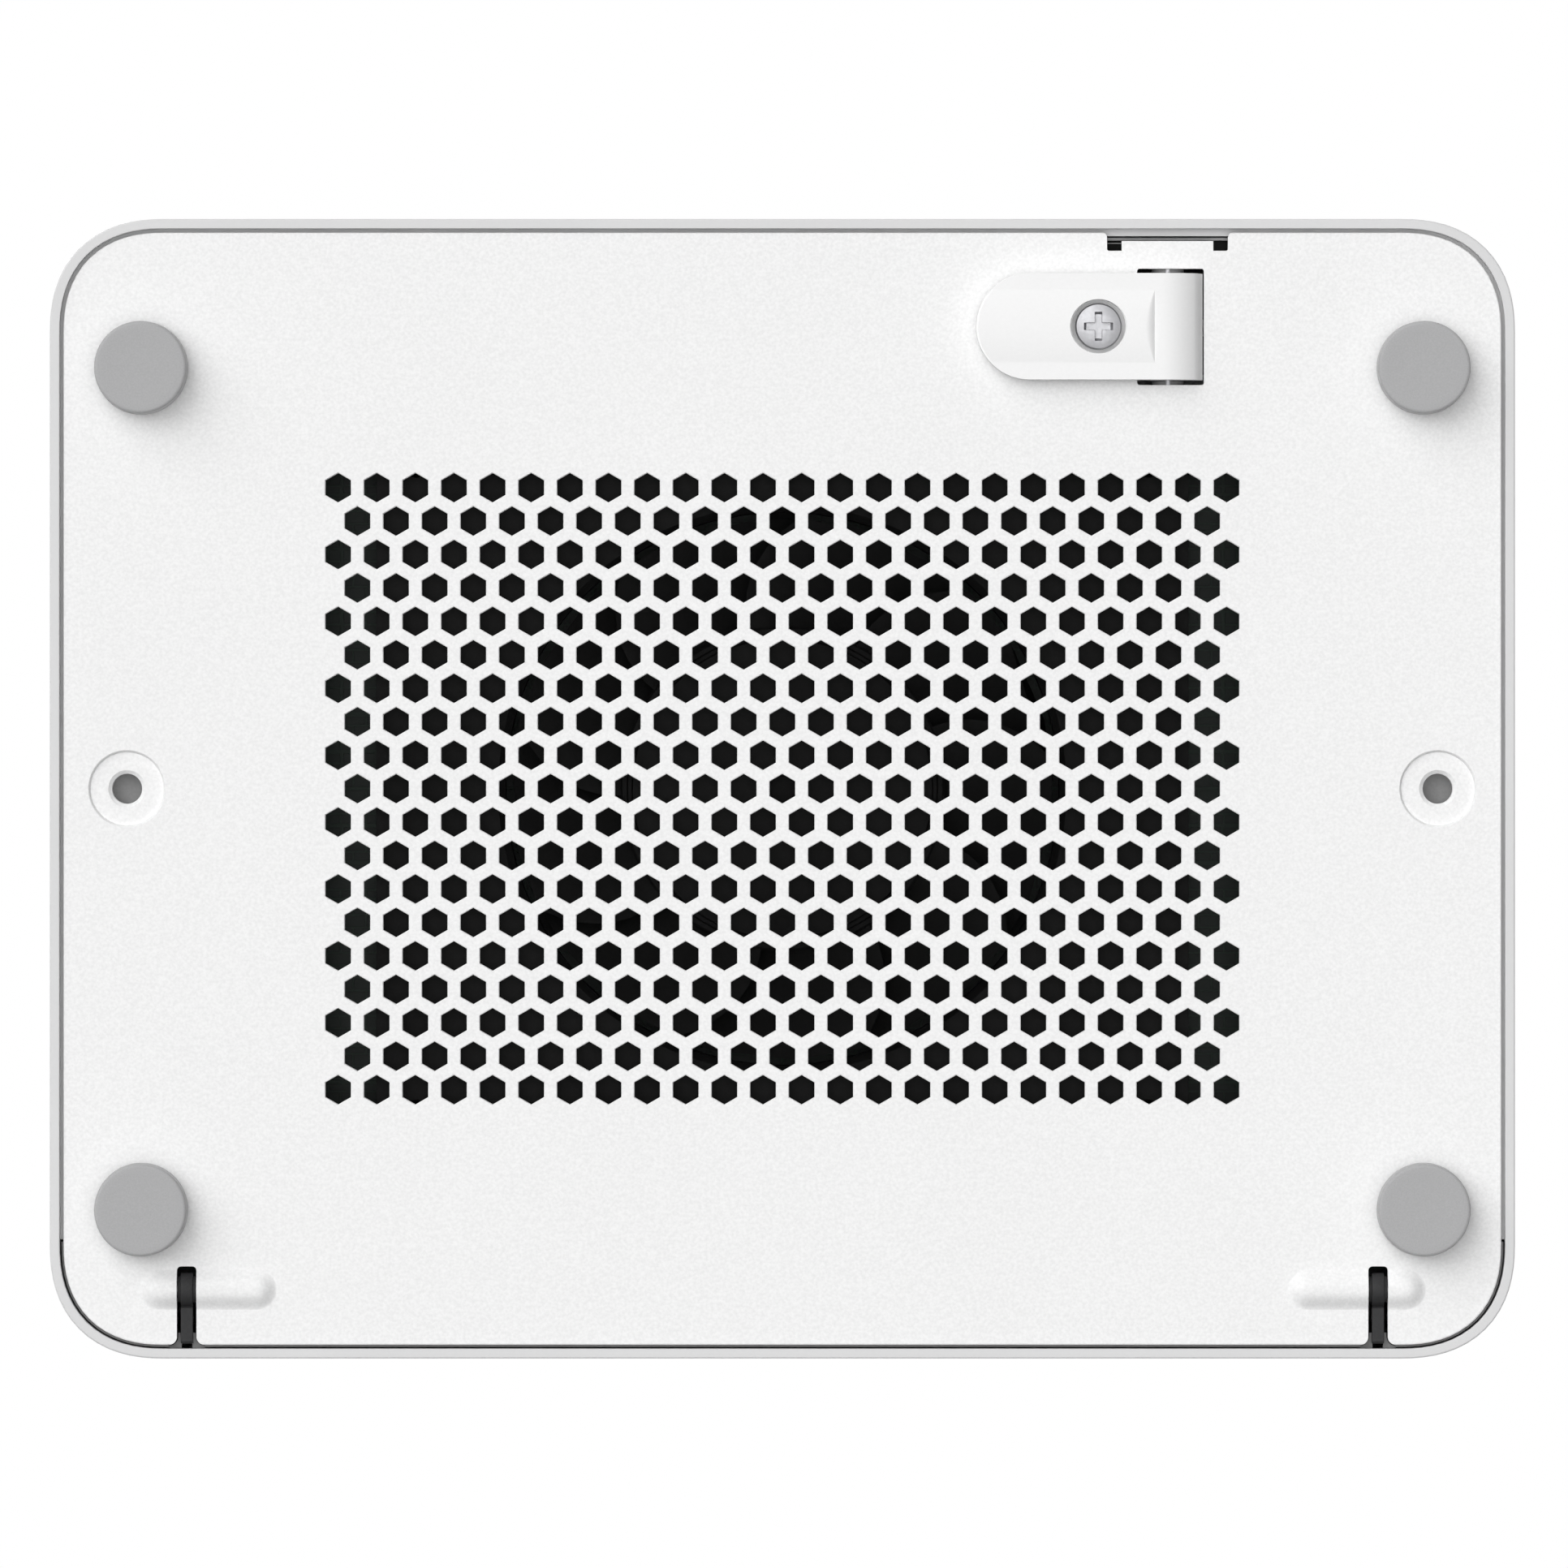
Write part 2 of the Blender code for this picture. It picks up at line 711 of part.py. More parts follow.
def main_board():
    board = block(
        "main_board",
        (-BOARD_HALF_X, BOARD_FRONT_Y, BOARD_Z[0]),
        (BOARD_HALF_X, BOARD_REAR_Y, BOARD_Z[1]),
        GREEN_BOARD,
    )
    for name, (x, y) in SCREW_PLACES.items():
        hole = rod(f"cut_{name}", (x, y, BOARD_Z[0]), (0, 0, 1), BOARD_HOLE_R, 0.01, segments=12)
        cut(board, hole)
    return board


def board_screw(name, x, y):
    """A pan-head screw, put in from below."""
    profile = [
        (0, 0.0050),
        (0.0014, 0.0050),
        (0.0014, 0.0000),
        (0.0027, 0.0000),
        (0.0024, -0.0016),
        (0, -0.0018),
    ]
    return turned(name, profile, at(x, y, BOARD_Z[0] - GAP), STEEL, steps=12)


def shield_can():
    low = (*SHIELD_LOW, JACK_Z[0])
    high = (*SHIELD_HIGH, JACK_Z[0] + SHIELD_HEIGHT)
    return block("shield_can", low, high, JACK_METAL)


def antenna(name, side, y):
    """A small upright board against the side wall."""
    x = side * ANTENNA_X
    low = (x - ANTENNA_THICK / 2, y - ANTENNA_HALF_Y, ANTENNA_Z[0])
    high = (x + ANTENNA_THICK / 2, y + ANTENNA_HALF_Y, ANTENNA_Z[1])
    return block(name, low, high, DARK_BOARD)


def smooth_route(knots, pieces):
    """Points along a smooth curve through the route's own points."""
    found = []
    ends = [knots[0] * 2 - knots[1], *knots, knots[-1] * 2 - knots[-2]]
    for start in range(len(knots) - 1):
        before, here, there, after = ends[start : start + 4]
        for step in range(pieces):
            t = step / pieces
            found.append(
                (
                    2 * here
                    + (there - before) * t
                    + (2 * before - 5 * here + 4 * there - after) * t * t
                    + (3 * here - before - 3 * there + after) * t * t * t
                )
                / 2
            )
    return [*found, knots[-1]]


def antenna_lead(name, side, y, reach):
    """The thin coaxial lead from an antenna, over the board's edge, to its socket on the board."""
    x = side * (ANTENNA_X - 0.0022)
    knots = [
        Vector((x, y, 0.0130)),
        Vector((x - side * 0.0006, y + reach * 0.35, 0.0150)),
        Vector((x - side * 0.0030, y + reach * 0.75, 0.0170)),
        Vector((x - side * 0.0100, y + reach, 0.0182)),
        Vector((x - side * 0.0230, y + reach * 1.1, 0.0190)),
    ]
    drawing = bpy.data.curves.new(name, "CURVE")
    drawing.dimensions = "3D"
    drawing.bevel_depth = LEAD_R
    drawing.bevel_resolution = 1
    drawing.use_fill_caps = True
    points = smooth_route(knots, 3)
    line = drawing.splines.new("POLY")
    line.points.add(len(points) - 1)
    for point, place in zip(line.points, points):
        point.co = (*place, 1)
    drawing.materials.append(GREY_LEAD)
    piece = bpy.data.objects.new(name, drawing)
    PARTS.objects.link(piece)
    return piece


def light_guide():
    """The clear bar that carries the status lights to the front wall."""
    front = -WIDTH / 2 + GAP
    low = (-LIGHT_HALF_X, front, LIGHT_Z[0])
    return block("light_guide", low, (LIGHT_HALF_X, front + LIGHT_DEPTH, LIGHT_Z[1]), CLEAR)


# --- Bottom cover ------------------------------------------------------------------------------


def vent_cutter():
    """Upright hexagonal prisms in staggered rows, points along Y."""
    shape = bmesh.new()
    for row in range(VENT_ROWS):
        count = VENT_LONG_ROW - row % 2
        y = (row - (VENT_ROWS - 1) / 2) * VENT_PITCH_Y
        for number in range(count):
            x = (number - (count - 1) / 2) * VENT_PITCH_X
            bmesh.ops.create_cone(
                shape,
                cap_ends=True,
                segments=6,
                radius1=VENT_RADIUS,
                radius2=VENT_RADIUS,
                depth=0.01,
                matrix=at(x, y, PLATE_BOTTOM),
            )
    mesh = bpy.data.meshes.new("cut_vents")
    shape.to_mesh(mesh)
    shape.free()
    return new_piece("cut_vents", mesh)


def hinge_bulge(name, side):
    """The pill-shaped swelling that holds a hinge pin."""
    middle = side * (BULGE_INNER_X + BULGE_OUTER_X) / 2
    half = (BULGE_OUTER_X - BULGE_INNER_X) / 2
    straight = half - BULGE_R
    profile = [(radius, along) for along, radius in arc((straight, 0), BULGE_R, 0, 90, 4)]
    profile += [(radius, -along) for radius, along in reversed(profile)]
    place = at(middle, HINGE_Y, HINGE_Z) @ Matrix.Rotation(math.pi / 2, 4, "Y")
    return turned(name, profile, place, steps=16)


def hinge_slot(name, side):
    """The slot that the hinge arm passes through, open to the rear edge with a flared mouth."""
    flare = 0.0010
    half = HINGE_SLOT_WIDTH / 2
    rear = WIDTH / 2 - PLATE_INSET
    outline = [
        (half, HINGE_SLOT_START + half * 0.4),
        (half, rear - flare),
        (half + flare, rear + 0.001),
        (-half - flare, rear + 0.001),
        (-half, rear - flare),
        (-half, HINGE_SLOT_START + half * 0.4),
        (-half * 0.6, HINGE_SLOT_START),
        (half * 0.6, HINGE_SLOT_START),
    ]
    outline = [(x + side * ARM_X, y) for x, y in outline]
    return extruded(name, outline, 0, PLATE_TOP + 0.004)


def notch_cutter():
    """The latch notch at the front edge: a tongue between two relief slots."""
    front = -WIDTH / 2 - 0.001
    outline = [
        (NOTCH_X[0] - 0.0012, front),
        (NOTCH_X[1] + 0.0012, front),
        (NOTCH_X[1], -WIDTH / 2 + PLATE_INSET + 0.0008),
        (NOTCH_X[1], NOTCH_END_Y),
        (TONGUE_X[1], NOTCH_END_Y),
        (TONGUE_X[1], TONGUE_Y),
        (TONGUE_X[0], TONGUE_Y),
        (TONGUE_X[0], NOTCH_END_Y),
        (NOTCH_X[0], NOTCH_END_Y),
        (NOTCH_X[0], -WIDTH / 2 + PLATE_INSET + 0.0008),
    ]
    return extruded("cut_notch", outline, 0, PLATE_TOP + 0.001)


def wall_screw_features(plate, side):
    """A shallow round recess with a blind hole in it, and the boss behind."""
    x = side * WALL_SCREW_X
    name = f"wall_{'left' if side < 0 else 'right'}"
    boss = rod(
        f"{name}_boss",
        (x, 0, (PLATE_TOP - 0.001 + WALL_BOSS_TOP) / 2),
        (0, 0, 1),
        WALL_BOSS_R,
        WALL_BOSS_TOP - PLATE_TOP + 0.001,
    )
    recess = rod(
        f"cut_{name}_recess", (x, 0, PLATE_BOTTOM), (0, 0, 1), RECESS_R, 2 * RECESS_DEPTH, segments=20
    )
    hole = rod(
        f"cut_{name}_hole", (x, 0, PLATE_BOTTOM), (0, 0, 1), WALL_HOLE_R, 0.0060, segments=16
    )
    join(plate, boss)
    cut(plate, recess, hole)


def lever_seat_features(plate):
    """The pocket for the lever's knuckle, the pin's two bosses and the boss for the insert."""
    foot_z = PLATE_TOP - 0.0005
    pin_bosses = [
        block(name, (PIN_BOSS_X[0], *low), (PIN_BOSS_X[1], *high))
        for name, low, high in (
            ("pin_boss_front", (PIN_BOSS_Y[0], foot_z), (POCKET_Y[0] + 0.0001, PIN_BOSS_TOP)),
            ("pin_boss_rear", (POCKET_Y[1] - 0.0001, foot_z), (PIN_BOSS_Y[1], PIN_BOSS_TOP)),
        )
    ]
    insert_boss = rod(
        "insert_boss",
        (SCREW_X, LEVER_Y, (foot_z + INSERT_BOSS_TOP) / 2),
        (0, 0, 1),
        INSERT_BOSS_R,
        INSERT_BOSS_TOP - foot_z,
        segments=20,
    )
    join(plate, *pin_bosses, insert_boss)
    pocket = block(
        "cut_pocket",
        (POCKET_X[0], POCKET_Y[0], 0),
        (POCKET_X[1], POCKET_Y[1], PLATE_TOP + 0.005),
    )
    insert_hole = rod(
        "cut_insert", (SCREW_X, LEVER_Y, PLATE_BOTTOM), (0, 0, 1), INSERT_R + GAP, 0.02, segments=20
    )
    pin_hole = rod(
        "cut_lever_pin",
        (LEVER_PIVOT_X, sum(LEVER_PIN_Y) / 2, LEVER_PIVOT_Z),
        (0, 1, 0),
        LEVER_PIN_R + 0.0002,
        LEVER_PIN_Y[1] - LEVER_PIN_Y[0] + 2 * GAP,
        segments=12,
    )
    cut(plate, pocket, insert_hole, pin_hole)


def base_plate():
    """The cover: a thin lip all round, a thicker middle, the vents, and what its joints need."""
    plate = extruded(
        "base_plate", case_outline(PLATE_INSET), PLATE_BOTTOM, LIP_TOP, finish=WHITE_TEXTURED
    )
    middle = extruded(
        "plate_middle", case_outline(PLATE_INSET + LIP_WIDTH), PLATE_BOTTOM + 0.0006, PLATE_TOP
    )
    join(plate, middle)
    for side in (-1, 1):
        name = "left" if side < 0 else "right"
        join(plate, hinge_bulge(f"bulge_{name}", side))
    for side in (-1, 1):
        name = "left" if side < 0 else "right"
        bore = rod(
            f"cut_pin_{name}",
            (side * (BULGE_INNER_X + BULGE_OUTER_X) / 2, HINGE_Y, HINGE_Z),
            (1, 0, 0),
            PIN_R + 0.0002,
            BULGE_OUTER_X - BULGE_INNER_X - 2 * (PIN_END_WALL - GAP),
            segments=12,
        )
        cut(plate, bore, hinge_slot(f"cut_arm_{name}", side))
        wall_screw_features(plate, side)
    lever_seat_features(plate)
    cut(plate, notch_cutter(), vent_cutter())
    return plate


def foot(name, x, y):
    top = PLATE_BOTTOM - GAP
    profile = [
        (0, top),
        (FOOT_BASE_R, top),
        (FOOT_FACE_R + 0.0001, 0.0006),
        (FOOT_FACE_R - 0.0005, 0),
        (0, 0),
    ]
    return turned(name, profile, at(x, y, 0), RUBBER)


def hinge_pin(name, side):
    length = BULGE_OUTER_X - BULGE_INNER_X - 2 * PIN_END_WALL
    middle = (side * (BULGE_INNER_X + BULGE_OUTER_X) / 2, HINGE_Y, HINGE_Z)
    return rod(name, middle, (1, 0, 0), PIN_R, length, STEEL)


def latch_bracket():
    """The guide over the latch slider: a roof with a slot for the crank, a wall and two legs."""
    (left_x, right_x), (front_y, rear_y) = BRACKET_X, BRACKET_Y
    roof_z = SLIDER_Z[1] + GAP
    top = roof_z + 0.0012
    foot_z = PLATE_TOP + GAP
    bracket = block(
        "latch_bracket", (left_x, front_y, roof_z), (right_x, rear_y, top), GREY_PLASTIC
    )
    walls = [
        block("bracket_wall", (left_x, rear_y - BRACKET_WALL, foot_z), (right_x, rear_y, top)),
        block("bracket_leg", (left_x, front_y, foot_z), (left_x + BRACKET_WALL, rear_y, top)),
        block("bracket_end", (right_x - BRACKET_WALL, front_y, foot_z), (right_x, rear_y, top)),
        block(
            "bracket_rest",
            (BRACKET_REST_X[0], BRACKET_REST_Y[0], foot_z),
            (BRACKET_REST_X[1], BRACKET_REST_Y[1], SLIDER_Z[0] - GAP),
        ),
    ]
    join(bracket, *walls)
    crank_slot = block(
        "cut_crank", (CRANK_SLOT_X[0], CRANK_SLOT_Y[0], 0), (CRANK_SLOT_X[1], CRANK_SLOT_Y[1], top * 2)
    )
    over_boss = block(
        "cut_over_boss",
        (PIN_BOSS_X[0] - GAP, BRACKET_REST_Y[1] - 0.0015, 0),
        (PIN_BOSS_X[1] + GAP, rear_y + 0.0011, PIN_BOSS_TOP + GAP),
    )
    cut(bracket, crank_slot, over_boss)
    return bracket


def screw_insert():
    middle = (SCREW_X, LEVER_Y, sum(INSERT_Z) / 2)
    length = INSERT_Z[1] - INSERT_Z[0]
    insert = rod("screw_insert", middle, (0, 0, 1), INSERT_R, length, BRASS, segments=20)
    bore = rod("cut_insert_bore", middle, (0, 0, 1), INSERT_BORE_R, 2 * length)
    cut(insert, bore)
    return insert


def release_lever():
    """A flat lever with a rounded tip, a knuckle round its pin and a crank that moves the latch."""
    half = LEVER_WIDTH / 2
    tip = LEVER_TIP_X + half
    plan = arc((tip, LEVER_Y), half, 90, 270, 10)
    plan += [(LEVER_PIVOT_X, LEVER_Y - half), (LEVER_PIVOT_X, LEVER_Y + half)]
    lever = extruded("release_lever", plan, LEVER_BOTTOM, LEVER_TOP, finish=WHITE_LEVER)
    centre = (LEVER_PIVOT_X, LEVER_PIVOT_Z)
    knuckle = [centre, *arc(centre, KNUCKLE_R, -90, 0, 8)]
    hub = arc(centre, LEVER_HUB_R, 0, 337.5, 15)
    pin_y = (LEVER_Y - half, LEVER_Y + half)
    join(lever, extruded("lever_knuckle", knuckle, *pin_y, "XZ"))
    join(lever, extruded("lever_hub", hub, *pin_y, "XZ"))
    reach = CRANK_REACH * math.sqrt(0.5)
    neck = block(
        "crank_neck",
        (-CRANK_NECK / 2, -CRANK_WIDTH / 2, 0.0015),
        (CRANK_NECK / 2, CRANK_WIDTH / 2, CRANK_REACH),
    )
    lean = at(LEVER_PIVOT_X, LEVER_Y, LEVER_PIVOT_Z) @ Matrix.Rotation(math.pi / 4, 4, "Y")
    neck.matrix_world = lean @ neck.matrix_world
    tooth = rod(
        "crank_tooth",
        (LEVER_PIVOT_X + reach, LEVER_Y, LEVER_PIVOT_Z + reach),
        (0, 1, 0),
        CRANK_PIN_R,
        CRANK_WIDTH,
        segments=12,
    )
    join(lever, neck, tooth)
    counterbore = rod(
        "cut_counterbore",
        (SCREW_X, LEVER_Y, SCREW_HEAD_TOP + GAP - 0.005),
        (0, 0, 1),
        COUNTERBORE_R,
        0.01,
        segments=20,
    )
    screw_hole = rod(
        "cut_screw_hole", (SCREW_X, LEVER_Y, LEVER_TOP), (0, 0, 1), SCREW_SHANK_R + GAP, 0.01
    )
    pin_hole = rod(
        "cut_lever_bore",
        (LEVER_PIVOT_X, LEVER_Y, LEVER_PIVOT_Z),
        (0, 1, 0),
        LEVER_PIN_R + GAP,
        2 * LEVER_WIDTH,
        segments=12,
    )
    cut(lever, counterbore, screw_hole, pin_hole)
    return lever


def lever_pin():
    return rod(
        "lever_pin",
        (LEVER_PIVOT_X, sum(LEVER_PIN_Y) / 2, LEVER_PIVOT_Z),
        (0, 1, 0),
        LEVER_PIN_R,
        LEVER_PIN_Y[1] - LEVER_PIN_Y[0],
        STEEL,
        segments=12,
    )


def lever_screw():
    """The captive screw: a pan head with a cross recess, and its shank."""
    head_bottom = LEVER_BOTTOM + 0.0002
    profile = [
        (0, SCREW_END),
        (SCREW_SHANK_R * 0.7, SCREW_END),
        (SCREW_SHANK_R, SCREW_END - 0.0005),
        (SCREW_SHANK_R, SCREW_HEAD_TOP),
        (SCREW_HEAD_R, SCREW_HEAD_TOP),
        (SCREW_HEAD_R, head_bottom + 0.0008),
        (SCREW_HEAD_R * 0.7, head_bottom + 0.0001),
        (0, head_bottom),
    ]
    screw = turned("lever_screw", profile, at(SCREW_X, LEVER_Y, 0), STEEL, steps=20)
    for number, turn in enumerate((0, math.pi / 2)):
        half = Vector((CROSS_LENGTH / 2, CROSS_WIDTH / 2, CROSS_DEPTH))
        blade = block(f"cut_cross_{number}", -half, half)
        blade.matrix_world = at(SCREW_X, LEVER_Y, head_bottom) @ Matrix.Rotation(turn, 4, "Z")
        cut(screw, blade)
    return screw


def latch_slider():
    """A plate that the crank moves along X, with the latch bar along the front edge."""
    body = block(
        "latch_slider",
        (SLIDER_X[0], SLIDER_Y[0], SLIDER_Z[0]),
        (SLIDER_X[1], SLIDER_Y[1], SLIDER_Z[1]),
        GREY_PLASTIC,
    )
    web = block(
        "slider_web",
        (SLIDER_X[0], SLIDER_Y[0], LATCH_BAR_Z[0] + 0.0005),
        (SLIDER_X[1], BAR_REAR_Y, SLIDER_Z[0] + 0.0005),
    )
    bar = block(
        "latch_bar",
        (LATCH_BAR_START_X, LATCH_EDGE_Y, LATCH_BAR_Z[0]),
        (SLIDER_X[1], BAR_REAR_Y, LATCH_BAR_Z[1]),
    )
    tooth_x = LEVER_PIVOT_X + CRANK_REACH * math.sqrt(0.5)
    slot_half = CRANK_PIN_R + GAP
    slot = block(
        "cut_tooth_slot",
        (tooth_x - slot_half, TOOTH_SLOT_Y[0], 0),
        (tooth_x + slot_half, TOOTH_SLOT_Y[1], 2 * SLIDER_Z[1]),
    )
    join(body, web, bar)
    cut(body, slot)
    return body


# --- Assembly ----------------------------------------------------------------------------------

clear_scene()
PARTS = new_collection("wireless_router")
CUTTERS = new_collection("cutters")
CUTTERS.hide_render = True

WHITE_SHELL = new_material("white_shell", (0.74, 0.74, 0.75), 0.35)
WHITE_TEXTURED = new_material("white_textured", (0.80, 0.80, 0.80), 0.60)
WHITE_LEVER = new_material("white_lever", (0.82, 0.82, 0.82), 0.40)
DARK_PLASTIC = new_material("dark_plastic", (0.07, 0.07, 0.075), 0.50)
BLACK_PLASTIC = new_material("black_plastic", (0.02, 0.02, 0.02), 0.55)
GREY_PLASTIC = new_material("grey_plastic", (0.25, 0.25, 0.26), 0.50)
BUTTON_PLASTIC = new_material("button_plastic", (0.10, 0.10, 0.10), 0.45)
RUBBER = new_material("grey_rubber", (0.38, 0.38, 0.38), 0.80)
STEEL = new_material("zinc_steel", (0.55, 0.55, 0.56), 0.35, 1.0)
BRASS = new_material("brass", (0.72, 0.55, 0.25), 0.35, 1.0)
ALUMINIUM = new_material("aluminium", (0.60, 0.60, 0.62), 0.40, 1.0)
JACK_METAL = new_material("plated_steel", (0.62, 0.62, 0.63), 0.30, 1.0)
GREEN_BOARD = new_material("green_board", (0.03, 0.16, 0.06), 0.45)
DARK_BOARD = new_material("dark_board", (0.02, 0.03, 0.03), 0.45)
GREY_LEAD = new_material("grey_lead", (0.12, 0.12, 0.12), 0.50)
CLEAR = new_material("clear_plastic", (0.85, 0.88, 0.90), 0.10)

top_shell()
port_frame()
socket_block("lan_sockets", LAN_X, 4)
socket_block("wan_socket", WAN_X, 1)
usb_socket()
power_inlet()
for button, (button_x, button_z, button_r) in BUTTONS.items():
    push_button(button, button_x, button_z, button_r)

fan_frame()
fan_rotor()
heat_sink()
main_board()
shield_can()
light_guide()
for screw, (screw_x, screw_y) in SCREW_PLACES.items():
    board_screw(screw, screw_x, screw_y)
for antenna_number, (antenna_side, antenna_y) in enumerate(ANTENNA_PLACES, start=1):
    antenna(f"antenna_{antenna_number}", antenna_side, antenna_y)
    run = -ANTENNA_HALF_Y if antenna_y > 0 else ANTENNA_HALF_Y
    antenna_lead(f"antenna_lead_{antenna_number}", antenna_side, antenna_y, run)

cover_pieces = [base_plate(), latch_bracket(), screw_insert(), lever_pin()]
for foot_name, side_x, side_y in (
    ("foot_front_left", -1, -1),
    ("foot_front_right", 1, -1),
    ("foot_rear_left", -1, 1),
    ("foot_rear_right", 1, 1),
):
    cover_pieces.append(foot(foot_name, side_x * FOOT_X, side_y * FOOT_Y))
for pin_name, pin_side in (("hinge_pin_left", -1), ("hinge_pin_right", 1)):
    cover_pieces.append(hinge_pin(pin_name, pin_side))
carry(pivot("cover_hinge_axis", (0, HINGE_Y, HINGE_Z)), cover_pieces)
carry(
    pivot("lever_pivot_axis", (LEVER_PIVOT_X, LEVER_Y, LEVER_PIVOT_Z)),
    [release_lever(), lever_screw()],
)
latch_slider()
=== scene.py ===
"""The looks of the wireless router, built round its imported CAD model.

Metres, +Z up, feet on z = 0. The camera looks straight up at the underside, with +X to the right
and the front edge (-Y) at the top.
"""

import json
import math

import bmesh
import bpy
from mathutils import Matrix, Vector


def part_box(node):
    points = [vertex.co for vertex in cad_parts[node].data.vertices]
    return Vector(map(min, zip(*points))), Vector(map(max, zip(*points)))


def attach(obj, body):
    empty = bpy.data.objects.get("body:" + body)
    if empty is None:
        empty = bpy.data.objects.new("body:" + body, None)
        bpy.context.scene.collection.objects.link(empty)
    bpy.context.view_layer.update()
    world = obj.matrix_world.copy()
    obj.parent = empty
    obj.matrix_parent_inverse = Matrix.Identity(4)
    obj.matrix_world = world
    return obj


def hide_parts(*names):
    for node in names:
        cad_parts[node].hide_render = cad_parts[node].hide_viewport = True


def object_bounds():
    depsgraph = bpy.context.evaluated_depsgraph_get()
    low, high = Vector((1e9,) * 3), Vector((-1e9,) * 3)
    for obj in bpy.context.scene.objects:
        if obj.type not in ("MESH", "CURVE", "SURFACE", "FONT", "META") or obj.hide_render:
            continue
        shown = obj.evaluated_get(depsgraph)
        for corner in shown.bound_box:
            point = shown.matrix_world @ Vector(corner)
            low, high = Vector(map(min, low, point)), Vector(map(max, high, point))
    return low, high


MM = 0.001

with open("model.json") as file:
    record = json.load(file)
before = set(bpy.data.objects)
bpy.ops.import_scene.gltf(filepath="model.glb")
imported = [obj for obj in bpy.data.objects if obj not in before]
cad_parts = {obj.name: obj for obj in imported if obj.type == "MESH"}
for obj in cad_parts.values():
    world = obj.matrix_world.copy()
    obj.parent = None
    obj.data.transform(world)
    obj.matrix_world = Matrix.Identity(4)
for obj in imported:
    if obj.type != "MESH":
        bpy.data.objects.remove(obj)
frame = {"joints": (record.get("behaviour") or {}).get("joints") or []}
CAD_LOW, CAD_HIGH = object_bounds()

# What the frame gives
HALF_X = CAD_HIGH.x
HALF_Y = CAD_HIGH.y
TOP = CAD_HIGH.z
PLATE_LOW, PLATE_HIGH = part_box("base_plate")
SHELL_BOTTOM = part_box("top_shell")[0].z
LEVER_LOW, LEVER_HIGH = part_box("release_lever")
SCREW_LOW, SCREW_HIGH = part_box("lever_screw")
FAN_LOW, FAN_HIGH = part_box("fan_frame")
ROTOR_LOW, ROTOR_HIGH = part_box("fan_rotor")
BOARD_LOW, BOARD_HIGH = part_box("main_board")
SINK_LOW, SINK_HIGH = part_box("heat_sink")
SLIDER_LOW, SLIDER_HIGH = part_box("latch_slider")
BRACKET_LOW, BRACKET_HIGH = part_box("latch_bracket")
JOINTS = {joint["name"]: joint for joint in frame["joints"]}

# Case
CORNER = 14.0 * MM
CORNER_POWER = 2.33
CORNER_STEPS = 16
RIM_WALL = 1.2 * MM
SEAM = 0.45 * MM
SHELL_WALL = 1.8 * MM
LEDGE_LOW = 6.0 * MM
LEDGE_HIGH = 6.9 * MM
LEDGE_INSET = 2.9 * MM
ROOF_THICK = 2.0 * MM
TOP_ROUND = 5.0 * MM
DARK_ZONE_Y = 55.7 * MM
FLANGE_LOW = 5.9 * MM
# Inset of the strip painted as light and shade in the rear seam
PAINTED_STRIP_INSET = 1.38 * MM

# Cover plate
PLATE_FACE = 4.5 * MM
PLATE_INNER = PLATE_FACE + 2.0 * MM
LIP_TOP = PLATE_FACE + 1.2 * MM
PLATE_INSET = RIM_WALL + SEAM
LIP_WIDTH = 2.5 * MM
HEX_RADIUS = 3.14 * MM / math.sqrt(3)
HEX_ROWS = 19
HEX_LONG_ROW = 24
HEX_PITCH_X = 4.747 * MM
HEX_PITCH_Y = 4.111 * MM

# Cover hinge
HINGE = Vector(JOINTS["cover_hinge"]["pos_m"])
BULGE_SPAN = (62.0 * MM, 79.2 * MM)
BULGE_HALF = 2.6 * MM
BULGE_HEIGHT = 0.85 * (PLATE_FACE - PLATE_LOW.z)
BARREL_R = 1.9 * MM
ARM_X = 73.2 * MM
ARM_THICK = 1.5 * MM
ARM_EYE_R = 2.05 * MM
SLOT_HALF = 1.2 * MM
SLOT_START = 58.7 * MM

# Lever and latch
PIVOT = Vector(JOINTS["lever_pivot"]["pos_m"])
KNUCKLE_R = 4.25 * MM
LEVER_INNER = PLATE_FACE - 0.3 * MM
CROWN_HEIGHT = 0.35 * MM
LEVER_FLAT = LEVER_LOW.z + CROWN_HEIGHT
CROWN_HALF = 4.5 * MM
SCOOP_X = 45.7 * MM
SCOOP_LENGTH = 1.15 * MM
SCOOP_DEPTH = 0.12 * MM
SCOOP_RAMP = 0.7 * MM
KNUCKLE_START = 46.6 * MM
STEEP_START = 56
PIN_HUB_R = 2.0 * MM
PIN_HUB_RISE = 1.45 * MM
SCREW_HEAD_SEAT = 3.6 * MM
SCREW_AT = Vector(JOINTS["lever_screw_spin"]["pos_m"])
POCKET = ((43.6 * MM, -63.9 * MM), (51.8 * MM, -49.6 * MM))
NOTCH_X = (39.9 * MM, 54.75 * MM)
TONGUE_X = (41.7 * MM, 52.95 * MM)
TONGUE_Y = -67.3 * MM
NOTCH_END_Y = -66.1 * MM
# Rear edge of the grey band painted as light and shade on the slider
PAINTED_BAND_REAR_Y = -67.44 * MM
LEVER_MIDDLE_Y = (LEVER_HIGH.y + LEVER_LOW.y) / 2
TOOTH_R = 0.8 * MM
TOOTH_REACH = LEVER_HIGH.z - PIVOT.z - TOOTH_R
WALL_SCREW_X = 80.55 * MM
WALL_HOLE_R = 1.85 * MM
PIN_BOSS_X = (45.0 * MM, 49.8 * MM)
INSERT_BOSS_R = 4.6 * MM
INSERT_BOSS_TOP = 8.8 * MM
COUNTERBORE_R = 3.325 * MM

